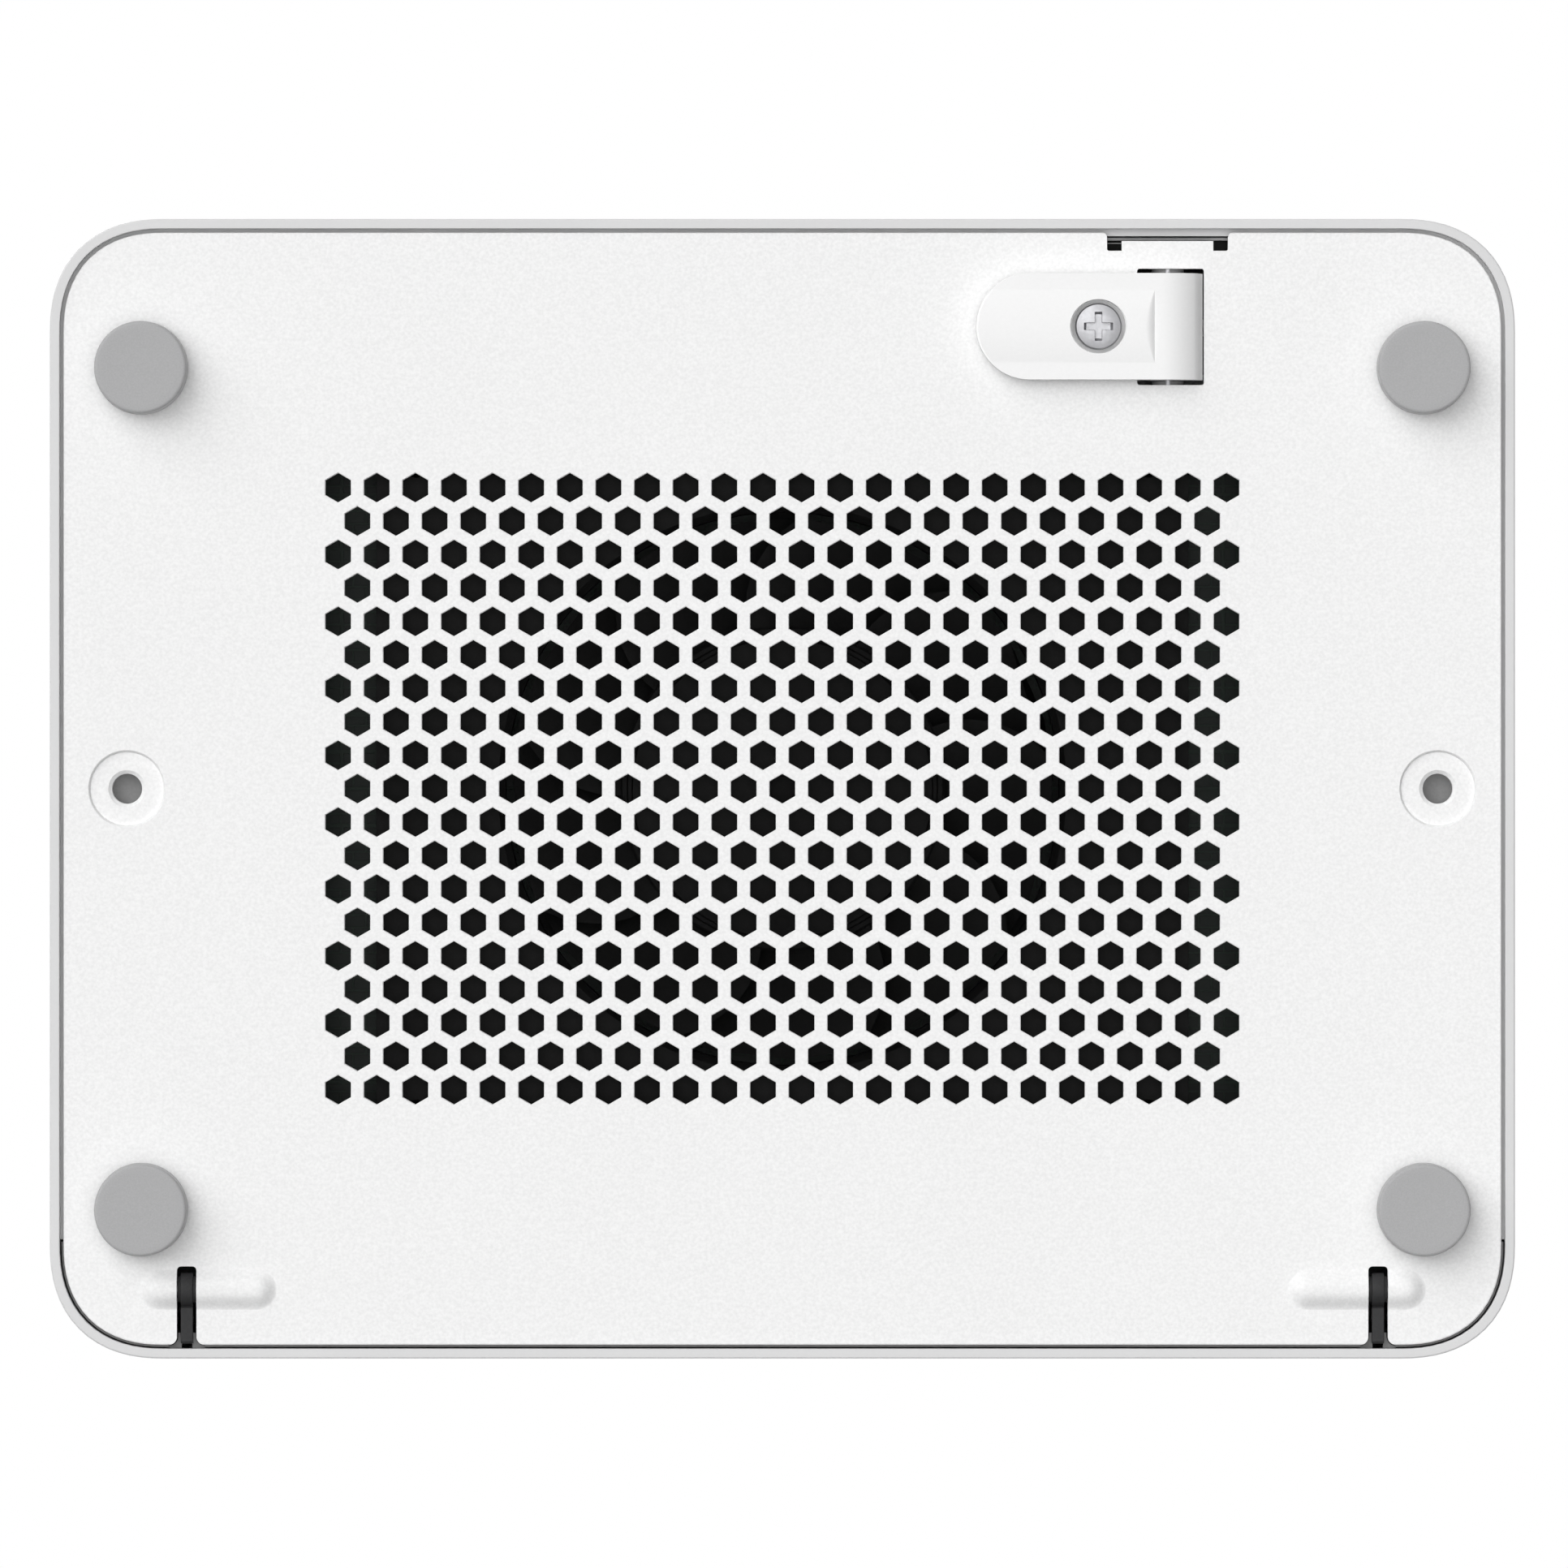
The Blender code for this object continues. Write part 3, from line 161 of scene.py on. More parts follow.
# Side and rear walls
EXHAUST_COUNT = 8
EXHAUST_PITCH = 9.0 * MM
EXHAUST_MIDDLE_Y = -8.0 * MM
EXHAUST_HALF = 1.3 * MM
EXHAUST_Z = (26.0 * MM, 34.0 * MM)
PORT_NODES = ("lan_sockets", "wan_socket", "usb_socket", "power_inlet")
PORT_GAP = 0.3 * MM
BUTTON_NODES = ("power_button", "wps_button", "reset_button")
BUTTON_FLANGE = 0.6 * MM

# Fan, heat sink and board
FAN_BORE_R = 34.1 * MM
FAN_HOLE = (45.0 * MM, 40.0 * MM)
HUB_R = 20.0 * MM
BLADE_R = 33.4 * MM
BLADE_COUNT = 9
BLADE_CHORD = math.radians(45)
BLADE_TWIST = 4.4 * MM
FIN_COUNT = 17
# The chips on the board's underside: middle x and y, length, width and thickness, in mm
CHIPS = (
    (-64, -38, 9, 9, 1.1),
    (-64, 14, 7, 12, 1.0),
    (63, -30, 12, 8, 1.1),
    (64, 10, 8, 8, 0.9),
    (-20, -53, 12, 7, 1.0),
    (8, -54, 6, 6, 0.9),
)
CHIP_LEG_PITCH = 0.8 * MM

# Stage. The surroundings say how bright each height is, from straight below (-1) to straight above
SURROUNDINGS = (
    (-1.0, 1.0),
    (-0.95, 0.60),
    (-0.90, 0.36),
    (-0.80, 0.12),
    (-0.60, 0.025),
    (-0.02, 0.015),
    (0.02, 0.26),
    (1.0, 0.25),
)
BRIGHTEST = 3.3
FLOOR_TONE = 0.92
VIEW_WIDTH = 192.67 * MM
VIEW_SHIFT = (0.20 * MM, -0.58 * MM)
FOCAL_MM = 400.0
SENSOR_MM = 36.0


# --- Mesh helpers ------------------------------------------------------------------------------


def shade(piece, angle=35):
    piece.data.shade_smooth()
    piece.data.set_sharp_from_angle(angle=math.radians(angle))


def as_object(name, shape, finish=None, angle=35):
    """An object from a bmesh, with its round stretches shaded smooth."""
    mesh = bpy.data.meshes.new(name)
    shape.to_mesh(mesh)
    shape.free()
    piece = bpy.data.objects.new(name, mesh)
    bpy.context.scene.collection.objects.link(piece)
    if finish is not None:
        mesh.materials.append(finish)
    shade(piece, angle)
    return piece


def finished(name, shape, finish=None, angle=35):
    """An object from a bmesh, with its faces turned outward."""
    bmesh.ops.recalc_face_normals(shape, faces=shape.faces)
    return as_object(name, shape, finish, angle)


def add_loft(shape, rings):
    """Adds a closed form through rings of points. A ring of one point is a tip."""
    loops = [[shape.verts.new(point) for point in ring] for ring in rings]
    for near, far in zip(loops, loops[1:]):
        count = max(len(near), len(far))
        for here in range(count):
            there = (here + 1) % count
            corners = [
                near[here % len(near)],
                near[there % len(near)],
                far[there % len(far)],
                far[here % len(far)],
            ]
            shape.faces.new(list(dict.fromkeys(corners)))
    for end in (loops[0], loops[-1]):
        if len(end) > 2:
            shape.faces.new(end)


def loft(name, rings, finish=None, angle=35):
    shape = bmesh.new()
    add_loft(shape, rings)
    return finished(name, shape, finish, angle)


def circle(radius, height, count, phase=0.0):
    if radius == 0:
        return [Vector((0, 0, height))]
    turns = [2 * math.pi * (step + phase) / count for step in range(count)]
    return [Vector((radius * math.cos(turn), radius * math.sin(turn), height)) for turn in turns]


def turned(name, profile, place, finish=None, steps=48, angle=35):
    """A turned piece. The profile is (radius, height) pairs along its own Z, set down at place."""
    rings = [[place @ point for point in circle(r, h, steps)] for r, h in profile]
    return loft(name, rings, finish, angle)


def at(x, y, z):
    return Matrix.Translation((x, y, z))


def along(axis, centre):
    """A placing whose Z runs along this axis."""
    turn = Vector((0, 0, 1)).rotation_difference(Vector(axis)).to_matrix().to_4x4()
    return Matrix.Translation(centre) @ turn


def rod(name, start, end, radius, finish=None, steps=24, edge=0.0):
    """A straight round rod, with its ends chamfered by edge."""
    start, end = Vector(start), Vector(end)
    length = (end - start).length
    profile = [(0, 0), (radius - edge, 0), (radius, edge), (radius, length - edge)]
    profile += [(radius - edge, length), (0, length)]
    if edge == 0:
        profile = [(0, 0), (radius, 0), (radius, length), (0, length)]
    return turned(name, profile, along(end - start, start), finish, steps)


def upright(name, x, y, low, high, radius, **more):
    """A round rod that stands upright between two heights."""
    return rod(name, (x, y, low), (x, y, high), radius, **more)


def block(name, low, high, finish=None, edge=0.0, segments=2):
    """A box between two corners, with its edges rounded by edge."""
    low, high = Vector(low), Vector(high)
    shape = bmesh.new()
    place = Matrix.Translation((low + high) / 2) @ Matrix.Diagonal((*(high - low), 1.0))
    bmesh.ops.create_cube(shape, size=1.0, matrix=place)
    if edge:
        bmesh.ops.bevel(
            shape,
            geom=shape.edges[:],
            offset=edge,
            segments=segments,
            profile=0.5,
            affect="EDGES",
        )
    return finished(name, shape, finish)


def arc(centre, radius, start, end, steps=8):
    """Points on an arc in a plane, with angles in degrees."""
    found = []
    for step in range(steps + 1):
        angle = math.radians(start + (end - start) * step / steps)
        found.append((centre[0] + radius * math.cos(angle), centre[1] + radius * math.sin(angle)))
    return found


def rounded(low, high, radius, steps=6, grow=0.0):
    """The outline of a rectangle with round corners, grown outwards by grow."""
    corners = (
        ((high[0] - radius, high[1] - radius), 0),
        ((low[0] + radius, high[1] - radius), 90),
        ((low[0] + radius, low[1] + radius), 180),
        ((high[0] - radius, low[1] + radius), 270),
    )
    found = []
    for centre, start in corners:
        found += arc(centre, radius + grow, start, start + 90, steps)
    return found


PLANES = {
    "XY": lambda u, v, w: Vector((u, v, w)),
    "XZ": lambda u, v, w: Vector((u, w, v)),
    "YZ": lambda u, v, w: Vector((w, u, v)),
}


def prism(name, outline, low, high, plane="XY", finish=None):
    """A flat outline between two levels across its plane."""
    place = PLANES[plane]
    return loft(name, [[place(u, v, level) for u, v in outline] for level in (low, high)], finish)


def flared_hole(name, outline_at, levels, plane="XY"):
    """A cutter whose outline grows by the amount given at each level."""
    place = PLANES[plane]
    rings = [[place(u, v, level) for u, v in outline_at(grow)] for level, grow in levels]
    return loft(name, rings)


def opening(name, low, high, radius, face, out, flare, plane="XZ", steps=6, depth=4 * MM):
    """A cutter for a round-cornered opening in a wall, flared where it meets the wall's face."""
    levels = ((face - out * depth, 0), (face - out * flare, 0), (face, flare), (face + out * MM, flare))
    return flared_hole(name, lambda grow: rounded(low, high, radius, steps, grow), levels, plane)


def box_and_middle(node):
    """A CAD node's lowest and highest corners, and its middle."""
    low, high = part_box(node)
    return low, high, (low + high) / 2


def settle(piece):
    """Applies the modifiers of a piece."""
    bpy.context.view_layer.update()
    graph = bpy.context.evaluated_depsgraph_get()
    old = piece.data
    piece.data = bpy.data.meshes.new_from_object(piece.evaluated_get(graph))
    piece.data.name = piece.name
    piece.modifiers.clear()
    bpy.data.meshes.remove(old)
    return piece


def combine(piece, others, operation):
    for other in others:
        change = piece.modifiers.new("combine", "BOOLEAN")
        change.operation = operation
        change.object = other
        change.solver = "EXACT"
    settle(piece)
    for other in others:
        bpy.data.objects.remove(other)
    shade(piece)
    return piece


def cut(piece, *cutters):
    return combine(piece, cutters, "DIFFERENCE")


def join(piece, *others):
    return combine(piece, others, "UNION")


def soften(piece, width, segments=2, angle=35):
    """Rounds every edge that is sharper than this angle."""
    change = piece.modifiers.new("soften", "BEVEL")
    change.width = width
    change.segments = segments
    change.limit_method = "ANGLE"
    change.angle_limit = math.radians(angle)
    change.use_clamp_overlap = True
    settle(piece)
    shade(piece)
    return piece


def merge(name, parts, finish=None):
    """One object out of several separate closed forms that are one moulding or assembly."""
    shape = bmesh.new()
    for part in parts:
        shape.from_mesh(part.data)
        bpy.data.objects.remove(part)
    return as_object(name, shape, finish)


def even_shading(piece):
    """Lets the large faces set the normals, so that flat faces stay flat up to their edges."""
    change = piece.modifiers.new("even_shading", "WEIGHTED_NORMAL")
    change.weight = 80
    change.keep_sharp = True
    settle(piece)


def place_on(piece, body, slot, *nodes):
    """The piece rides on a body and stands for these CAD nodes, which it hides. The slot is not used."""
    if piece.type == "MESH":
        even_shading(piece)
    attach(piece, body)
    if nodes:
        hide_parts(*nodes)
    return piece


# --- Materials ---------------------------------------------------------------------------------


class Finish:
    """A Principled material with what its nodes share."""

    def __init__(self, name, colour, roughness, metallic=0.0):
        self.name = name
        self.material = bpy.data.materials.new(name)
        self.material.use_nodes = True
        self.nodes = self.material.node_tree.nodes
        self.links = self.material.node_tree.links
        self.shader = self.nodes["Principled BSDF"]
        self.colour = colour
        self.set("Base Color", (*colour, 1.0))
        self.set("Roughness", roughness)
        self.set("Metallic", metallic)
        self.place = self.nodes.new("ShaderNodeTexCoord").outputs["Object"]
        self.bumps = None

    def set(self, socket, value):
        self.shader.inputs[socket].default_value = value

    def node(self, kind, **values):
        node = self.nodes.new(kind)
        for socket, value in values.items():
            node.inputs[socket.replace("_", " ")].default_value = value
        return node

    def noise(self, scale, detail=2.0, roughness=0.5, stretch=None):
        node = self.node("ShaderNodeTexNoise", Scale=scale, Detail=detail, Roughness=roughness)
        self.links.new(self.stretched(stretch), node.inputs["Vector"])
        return node.outputs["Fac"]

    def stretched(self, stretch):
        if stretch is None:
            return self.place
        node = self.nodes.new("ShaderNodeMapping")
        node.inputs["Scale"].default_value = stretch
        self.links.new(self.place, node.inputs["Vector"])
        return node.outputs["Vector"]

    def ranged(self, source, low, high, start=0.3, end=0.7):
        node = self.node("ShaderNodeMapRange", From_Min=start, From_Max=end, To_Min=low, To_Max=high)
        self.links.new(source, node.inputs["Value"])
        return node.outputs["Result"]

    def tint(self, source, dark, light):
        """Colours the surface between two multiples of its own colour."""
        node = self.nodes.new("ShaderNodeMix")
        node.data_type = "RGBA"
        node.inputs["A"].default_value = (*[part * dark for part in self.colour], 1.0)
        node.inputs["B"].default_value = (*[min(part * light, 1.0) for part in self.colour], 1.0)
        self.links.new(source, node.inputs["Factor"])
        self.links.new(node.outputs["Result"], self.shader.inputs["Base Color"])
        return node.outputs["Result"]

    def vary_roughness(self, source, low, high):
        self.links.new(self.ranged(source, low, high), self.shader.inputs["Roughness"])

    def bump(self, source, depth, strength=1.0):
        node = self.node("ShaderNodeBump", Strength=strength, Distance=depth)
        self.links.new(source, node.inputs["Height"])
        if self.bumps is not None:
            self.links.new(self.bumps, node.inputs["Normal"])
        self.bumps = node.outputs["Normal"]
        self.links.new(self.bumps, self.shader.inputs["Normal"])


def moulded(name, colour, roughness, grain=0.2 * MM, depth=0.004 * MM, mottle=0.02, shine=0.5):
    """Moulded plastic: a fine even grain, with slow changes of tone and gloss."""
    made = Finish(name, colour, roughness)
    made.set("Specular IOR Level", shine)
    grains = made.noise(1.0 / grain, detail=3.0, roughness=0.6)
    clouds = made.noise(60.0, detail=3.0)
    speckle = made.noise(0.6 / grain, detail=2.0)
    made.bump(grains, depth)
    made.tint(made.ranged(speckle, 0.0, 1.0), 1.0 - mottle, 1.0 + mottle)
    made.vary_roughness(clouds, roughness - 0.05, roughness + 0.05)
    return made


def rubber(name, colour):
    made = moulded(name, colour, 0.75, grain=0.12 * MM, depth=0.01 * MM, mottle=0.05)
    made.set("Sheen Weight", 0.15)
    made.set("Sheen Roughness", 0.4)
    return made


def metal(name, colour, roughness, streak=None, depth=0.002 * MM):
    """Plated, turned or drawn metal. Streaks run along the axis with the smallest scale."""
    made = Finish(name, colour, roughness, 1.0)
    lines = made.noise(2500.0, detail=4.0, roughness=0.7, stretch=streak)
    clouds = made.noise(300.0, detail=3.0)
    made.bump(lines, depth)
    made.tint(made.ranged(clouds, 0.0, 1.0), 0.92, 1.06)
    made.vary_roughness(lines, roughness - 0.06, roughness + 0.10)
    return made


def circuit_board(name, colour, track_colour):
    """Solder mask over copper: fine straight tracks at two pitches, and a slight ripple."""
    made = Finish(name, colour, 0.38)
    tracks = None
    for scale, width in ((55.0, 0.012), (160.0, 0.02)):
        grid = made.node("ShaderNodeTexBrick", Scale=scale, Mortar_Size=width, Mortar_Smooth=0.1)
        made.links.new(made.place, grid.inputs["Vector"])
        if tracks is None:
            tracks = grid.outputs["Fac"]
            continue
        either = made.nodes.new("ShaderNodeMath")
        either.operation = "MAXIMUM"
        made.links.new(tracks, either.inputs[0])
        made.links.new(grid.outputs["Fac"], either.inputs[1])
        tracks = either.outputs["Value"]
    mix = made.nodes.new("ShaderNodeMix")
    mix.data_type = "RGBA"
    mix.inputs["A"].default_value = (*colour, 1.0)
    mix.inputs["B"].default_value = (*track_colour, 1.0)
    made.links.new(tracks, mix.inputs["Factor"])
    made.links.new(mix.outputs["Result"], made.shader.inputs["Base Color"])
    made.bump(tracks, 0.03 * MM)
    made.bump(made.noise(900.0), 0.004 * MM)
    made.set("Specular IOR Level", 0.3)
    return made


def clear_plastic(name, colour):
    made = Finish(name, colour, 0.12)
    made.set("Transmission Weight", 0.5)
    made.set("IOR", 1.49)
    made.bump(made.noise(800.0), 0.003 * MM)
    made.tint(made.ranged(made.noise(150.0), 0.0, 1.0), 0.95, 1.03)
    return made


def paint_all():
    """The finishes by name. The record's slots use the same names."""
    made = (
        moulded("white_shell", (0.64, 0.64, 0.643), 0.38, 0.25 * MM, 0.0015 * MM, 0.01),
        moulded("white_textured", (0.86, 0.86, 0.86), 0.62, 0.22 * MM, 0.02 * MM, 0.05),
        moulded("white_lever", (0.87, 0.87, 0.87), 0.5, 0.2 * MM, 0.002 * MM, 0.01),
        moulded("dark_plastic", (0.036, 0.036, 0.037), 0.55, mottle=0.08, shine=0.15),
        # A grey painted as light and shade: the tone that parts take deep in the seams, slots and holes, not
        # a colour of their own.
        moulded("painted_shade_grey", (0.19, 0.19, 0.19), 0.6, mottle=0.05),
        moulded("black_plastic", (0.010, 0.010, 0.010), 0.6, mottle=0.08, shine=0.1),
        moulded("grey_plastic", (0.42, 0.42, 0.425), 0.5, mottle=0.05),
        moulded("button_plastic", (0.08, 0.08, 0.08), 0.42, mottle=0.05),
        rubber("grey_rubber", (0.40, 0.40, 0.405)),
        metal("zinc_steel", (0.46, 0.46, 0.475), 0.48),
        metal("brass", (0.75, 0.57, 0.27), 0.3),
        # Far darker than bare aluminium: painted shade, so the fins seen through the vents stay as dark as
        # the shaded inside of the case.
        metal("aluminium", (0.20, 0.20, 0.205), 0.5, streak=(8.0, 0.4, 8.0)),
        metal("plated_steel", (0.66, 0.66, 0.67), 0.3, streak=(0.5, 6.0, 6.0)),
        circuit_board("green_board", (0.004, 0.016, 0.010), (0.008, 0.032, 0.018)),
        circuit_board("dark_board", (0.010, 0.011, 0.013), (0.03, 0.027, 0.02)),
        moulded("grey_lead", (0.10, 0.10, 0.10), 0.45, mottle=0.05),
        clear_plastic("clear_plastic", (0.80, 0.84, 0.86)),
        metal("gold", (0.85, 0.62, 0.25), 0.25),
        moulded("chip", (0.018, 0.018, 0.02), 0.4, mottle=0.1),
        metal("solder", (0.70, 0.70, 0.70), 0.22),
    )
    return {finish.name: finish.material for finish in made}


# --- Top shell ---------------------------------------------------------------------------------


def case_outline(inset):
    """The case's outline seen from above, with soft corners, moved in by inset."""
    found = []
    size = CORNER - inset
    for quarter, (side_x, side_y) in enumerate(((1, 1), (-1, 1), (-1, -1), (1, -1))):
        middle = (side_x * (HALF_X - CORNER), side_y * (HALF_Y - CORNER))
        for step in range(CORNER_STEPS + 1):
            angle = math.radians(90 * (quarter + step / CORNER_STEPS))
            across, up = math.cos(angle), math.sin(angle)
            spread = abs(across) ** CORNER_POWER + abs(up) ** CORNER_POWER
            reach = size / spread ** (1 / CORNER_POWER)
            found.append((middle[0] + reach * across, middle[1] + reach * up))
    return found


def case_rings(profile):
    """Rings round the case from (inset, height) pairs."""
    return [[Vector((x, y, height)) for x, y in case_outline(inset)] for inset, height in profile]


def shell_profile():
    """The shell's section: ceiling, inner wall, ledge, rim, outer wall and rounded top edge."""
    inner = [
        (SHELL_WALL + 3.0 * MM, TOP - ROOF_THICK),
        (SHELL_WALL + 0.8 * MM, TOP - ROOF_THICK - 0.8 * MM),
        (SHELL_WALL, TOP - ROOF_THICK - 3.0 * MM),
        (SHELL_WALL, LEDGE_HIGH),
        (LEDGE_INSET, LEDGE_HIGH),
        (LEDGE_INSET, LEDGE_LOW),
        (RIM_WALL, LEDGE_LOW),
    ]
    edge = 0.12 * MM
    inner_edge = [(RIM_WALL - u, v) for u, v in arc((edge, SHELL_BOTTOM + edge), edge, 180, 270, 4)]
    lip = 0.2 * MM
    outer_edge = arc((lip, SHELL_BOTTOM + lip), lip, 270, 180, 5)
    top = arc((TOP_ROUND, TOP - TOP_ROUND), TOP_ROUND, 180, 90, 12)
    return inner + inner_edge + outer_edge + top


def exhaust_slots():
    """Cutters for the upright slots in both side walls."""
    cutters = []
    for side in (-1, 1):
        for number in range(EXHAUST_COUNT):
            y = (number - (EXHAUST_COUNT - 1) / 2) * EXHAUST_PITCH + EXHAUST_MIDDLE_Y
            low, high = (y - EXHAUST_HALF, EXHAUST_Z[0]), (y + EXHAUST_HALF, EXHAUST_Z[1])
            name = f"exhaust_{side}_{number}"
            cutters.append(opening(name, low, high, 1.25 * MM, side * HALF_X, side, 0.3 * MM, "YZ", 5))
    return cutters


def fine_shell():
    """The shell, opened for the latch, the port frame, the status lights and the exhaust."""
    shell = loft("top_shell_fine", case_rings(shell_profile()), FINISHES["white_shell"])
    latch_run = block(
        "latch_run",
        (28.5 * MM, -HALF_Y + 2.05 * MM, SHELL_BOTTOM),
        (54.9 * MM, -HALF_Y + 5 * MM, LEDGE_HIGH + 0.1 * MM),
    )
    zone_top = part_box("port_frame")[1].z + 0.3 * MM
    dark_zone = prism("dark_zone", case_outline(RIM_WALL), LEDGE_LOW - 0.1 * MM, zone_top)
    cut(dark_zone, block("in_front", (-1, -1, -1), (1, DARK_ZONE_Y - 0.3 * MM, 1)))
    window = ((-76.0 * MM, 15.0 * MM), (76.0 * MM, 37.0 * MM), 1.5 * MM)
    light_window = ((-15.3 * MM, 24.7 * MM), (15.3 * MM, 27.3 * MM), 1.2 * MM)
    cut(
        shell,
        latch_run,
        dark_zone,
        opening("window", *window, HALF_Y, 1, 0.3 * MM),
        opening("light_window", *light_window, -HALF_Y, -1, 0.2 * MM),
        *exhaust_slots(),
    )
    return shell


def shell_ribs():
    """Stiffening ribs under the shell's roof, seen only when the cover is open."""
    parts = []
    for number in range(5):
        x = (number - 2) * 32.0 * MM
        low = (x - 0.6 * MM, -HALF_Y + 3 * MM, TOP - ROOF_THICK - 1.6 * MM)
        high = (x + 0.6 * MM, HALF_Y - 6 * MM, TOP - ROOF_THICK - 0.05 * MM)
        parts.append(block(f"rib_{number}", low, high, edge=0.15 * MM))
    return merge("shell_ribs", parts, FINISHES["white_shell"])


# --- Cover plate -------------------------------------------------------------------------------


def vent_cutters():
    """Upright hexagonal holes in staggered rows, each with a tiny chamfer at the outer face."""
    shape = bmesh.new()
    flare = 0.10 * MM
    levels = (
        (PLATE_INNER + 0.5 * MM, 0.0),
        (PLATE_FACE + flare, 0.0),
        (PLATE_FACE, flare),
        (PLATE_FACE - 0.3 * MM, flare),
    )
    for row in range(HEX_ROWS):
        count = HEX_LONG_ROW - row % 2
        y = (row - (HEX_ROWS - 1) / 2) * HEX_PITCH_Y
        for number in range(count):
            x = (number - (count - 1) / 2) * HEX_PITCH_X
            rings = []
            for level, grow in levels:
                ring = circle(HEX_RADIUS + grow, level, 6, phase=0.5)
                rings.append([point + Vector((x, y, 0)) for point in ring])
            add_loft(shape, rings)
    return finished("vent_cutters", shape)


def plate_profile():
    """The plate's section at its edge, from the outer face to the inner one."""
    edge = 0.22 * MM
    outer = [(PLATE_INSET + u, v) for u, v in arc((edge, PLATE_FACE + edge), edge, 270, 180, 4)]
    inner = [
        (PLATE_INSET, LIP_TOP),
        (PLATE_INSET + LIP_WIDTH, LIP_TOP),
        (PLATE_INSET + LIP_WIDTH, PLATE_INNER),
    ]
    return outer + inner


def pill(middle, half_long, half_wide, height, steps=10):
    """A ring in the shape of a pill lying along X."""
    straight = half_long - half_wide
    ring = [(straight + u, v) for u, v in arc((0, 0), half_wide, -90, 90, steps)]
    ring += [(u - straight, v) for u, v in arc((0, 0), half_wide, 90, 270, steps)]
    return [Vector((middle.x + u, middle.y + v, height)) for u, v in ring]


def hinge_bulge(side):
    """The soft pill-shaped swelling under a hinge pin, and the barrel that holds the pin inside."""
    middle = Vector((side * sum(BULGE_SPAN) / 2, HINGE.y, HINGE.z))
    half_long = (BULGE_SPAN[1] - BULGE_SPAN[0]) / 2
    rings = [pill(middle, half_long, BULGE_HALF, PLATE_FACE + 0.4 * MM)]
    for step in range(15):
        inset = BULGE_HALF * step / 15
        out = 1 - step / 15
        rise = 1 - 4 * out**3 + 3 * out**4
        height = PLATE_FACE + 0.01 * MM - (BULGE_HEIGHT + 0.01 * MM) * rise
        rings.append(pill(middle, half_long - inset, BULGE_HALF - inset, height))
    swelling = loft(f"bulge_{side}", rings)
    reach = Vector((half_long - BARREL_R, 0, 0))
    barrel = rod(f"barrel_{side}", middle - reach, middle + reach, BARREL_R, steps=40, edge=0.4 * MM)
    return swelling, barrel


def slot_outline(side, inset=0.0):
    """The outline of a hinge arm's slot: a rounded inner end and a flared mouth."""
    rear = HALF_Y - PLATE_INSET
    flare = 1.0 * MM
    corner = 0.5 * MM
    half = SLOT_HALF - inset
    right = arc((half - corner, SLOT_START + inset + corner), corner, 270, 360, 4)
    right += arc((SLOT_HALF + flare, rear - flare), flare + inset, 180, 90, 8)
    right.append((SLOT_HALF + flare, rear + MM))
    outline = right + [(-x, y) for x, y in reversed(right)]
    return [(x + side * ARM_X, y) for x, y in outline]


def arm_slot(side):
    return prism(f"arm_slot_{side}", slot_outline(side), 0, 12 * MM)


def latch_notch():
    """The notch at the front edge: two relief slots beside a tongue, with rounded corners."""
    front = -HALF_Y + PLATE_INSET
    corner = 0.6 * MM
    small = 0.25 * MM
    outline = [(NOTCH_X[0] - corner, front - MM)]
    outline += arc((NOTCH_X[0] - corner, front + corner), corner, 270, 360, 5)
    outline += arc((NOTCH_X[0] + small, NOTCH_END_Y - small), small, 180, 90, 3)
    outline += [(TONGUE_X[0], NOTCH_END_Y), (TONGUE_X[0], TONGUE_Y)]
    outline += [(TONGUE_X[1], TONGUE_Y), (TONGUE_X[1], NOTCH_END_Y)]
    outline += arc((NOTCH_X[1] - small, NOTCH_END_Y - small), small, 90, 0, 3)
    outline += arc((NOTCH_X[1] + corner, front + corner), corner, 180, 270, 5)
    outline.append((NOTCH_X[1] + corner, front - MM))
    return prism("latch_notch", outline, 0, 10 * MM)


def wall_screw_cutter(side):
    """A shallow round recess, a chamfer and a blind hole."""
    profile = [
        (0, PLATE_FACE - MM),
        (4.75 * MM, PLATE_FACE - MM),
        (4.75 * MM, PLATE_FACE),
        (4.6 * MM, PLATE_FACE + 0.15 * MM),
        (4.5 * MM, PLATE_FACE + 0.5 * MM),
        (2.3 * MM, PLATE_FACE + 0.5 * MM),
        (WALL_HOLE_R, PLATE_FACE + 0.9 * MM),
        (WALL_HOLE_R, PLATE_FACE + 3.6 * MM),
        (0, PLATE_FACE + 3.6 * MM),
    ]
    return turned(f"wall_screw_{side}", profile, at(side * WALL_SCREW_X, 0, 0), steps=48)


def plate_body():
    plate = loft("base_plate_fine", case_rings(plate_profile()), FINISHES["white_textured"])
    added = [*hinge_bulge(-1), *hinge_bulge(1)]
    for side in (-1, 1):
        boss = ((0, 6 * MM), (5 * MM, 6 * MM), (5 * MM, 8.3 * MM), (4.8 * MM, 8.5 * MM), (0, 8.5 * MM))
        added.append(turned(f"wall_boss_{side}", boss, at(side * WALL_SCREW_X, 0, 0), steps=40))
    for y_low, y_high in ((-65.2 * MM, -63.8 * MM), (-49.7 * MM, -47.8 * MM)):
        low, high = (PIN_BOSS_X[0], y_low, 6 * MM), (PIN_BOSS_X[1], y_high, 7.8 * MM)
        added.append(block("pin_boss", low, high))
    boss_levels = (6 * MM, INSERT_BOSS_TOP)
    added.append(
        upright("insert_boss", SCREW_AT.x, SCREW_AT.y, *boss_levels, INSERT_BOSS_R, steps=40, edge=0.4 * MM)
    )
    join(plate, *added)
    return plate


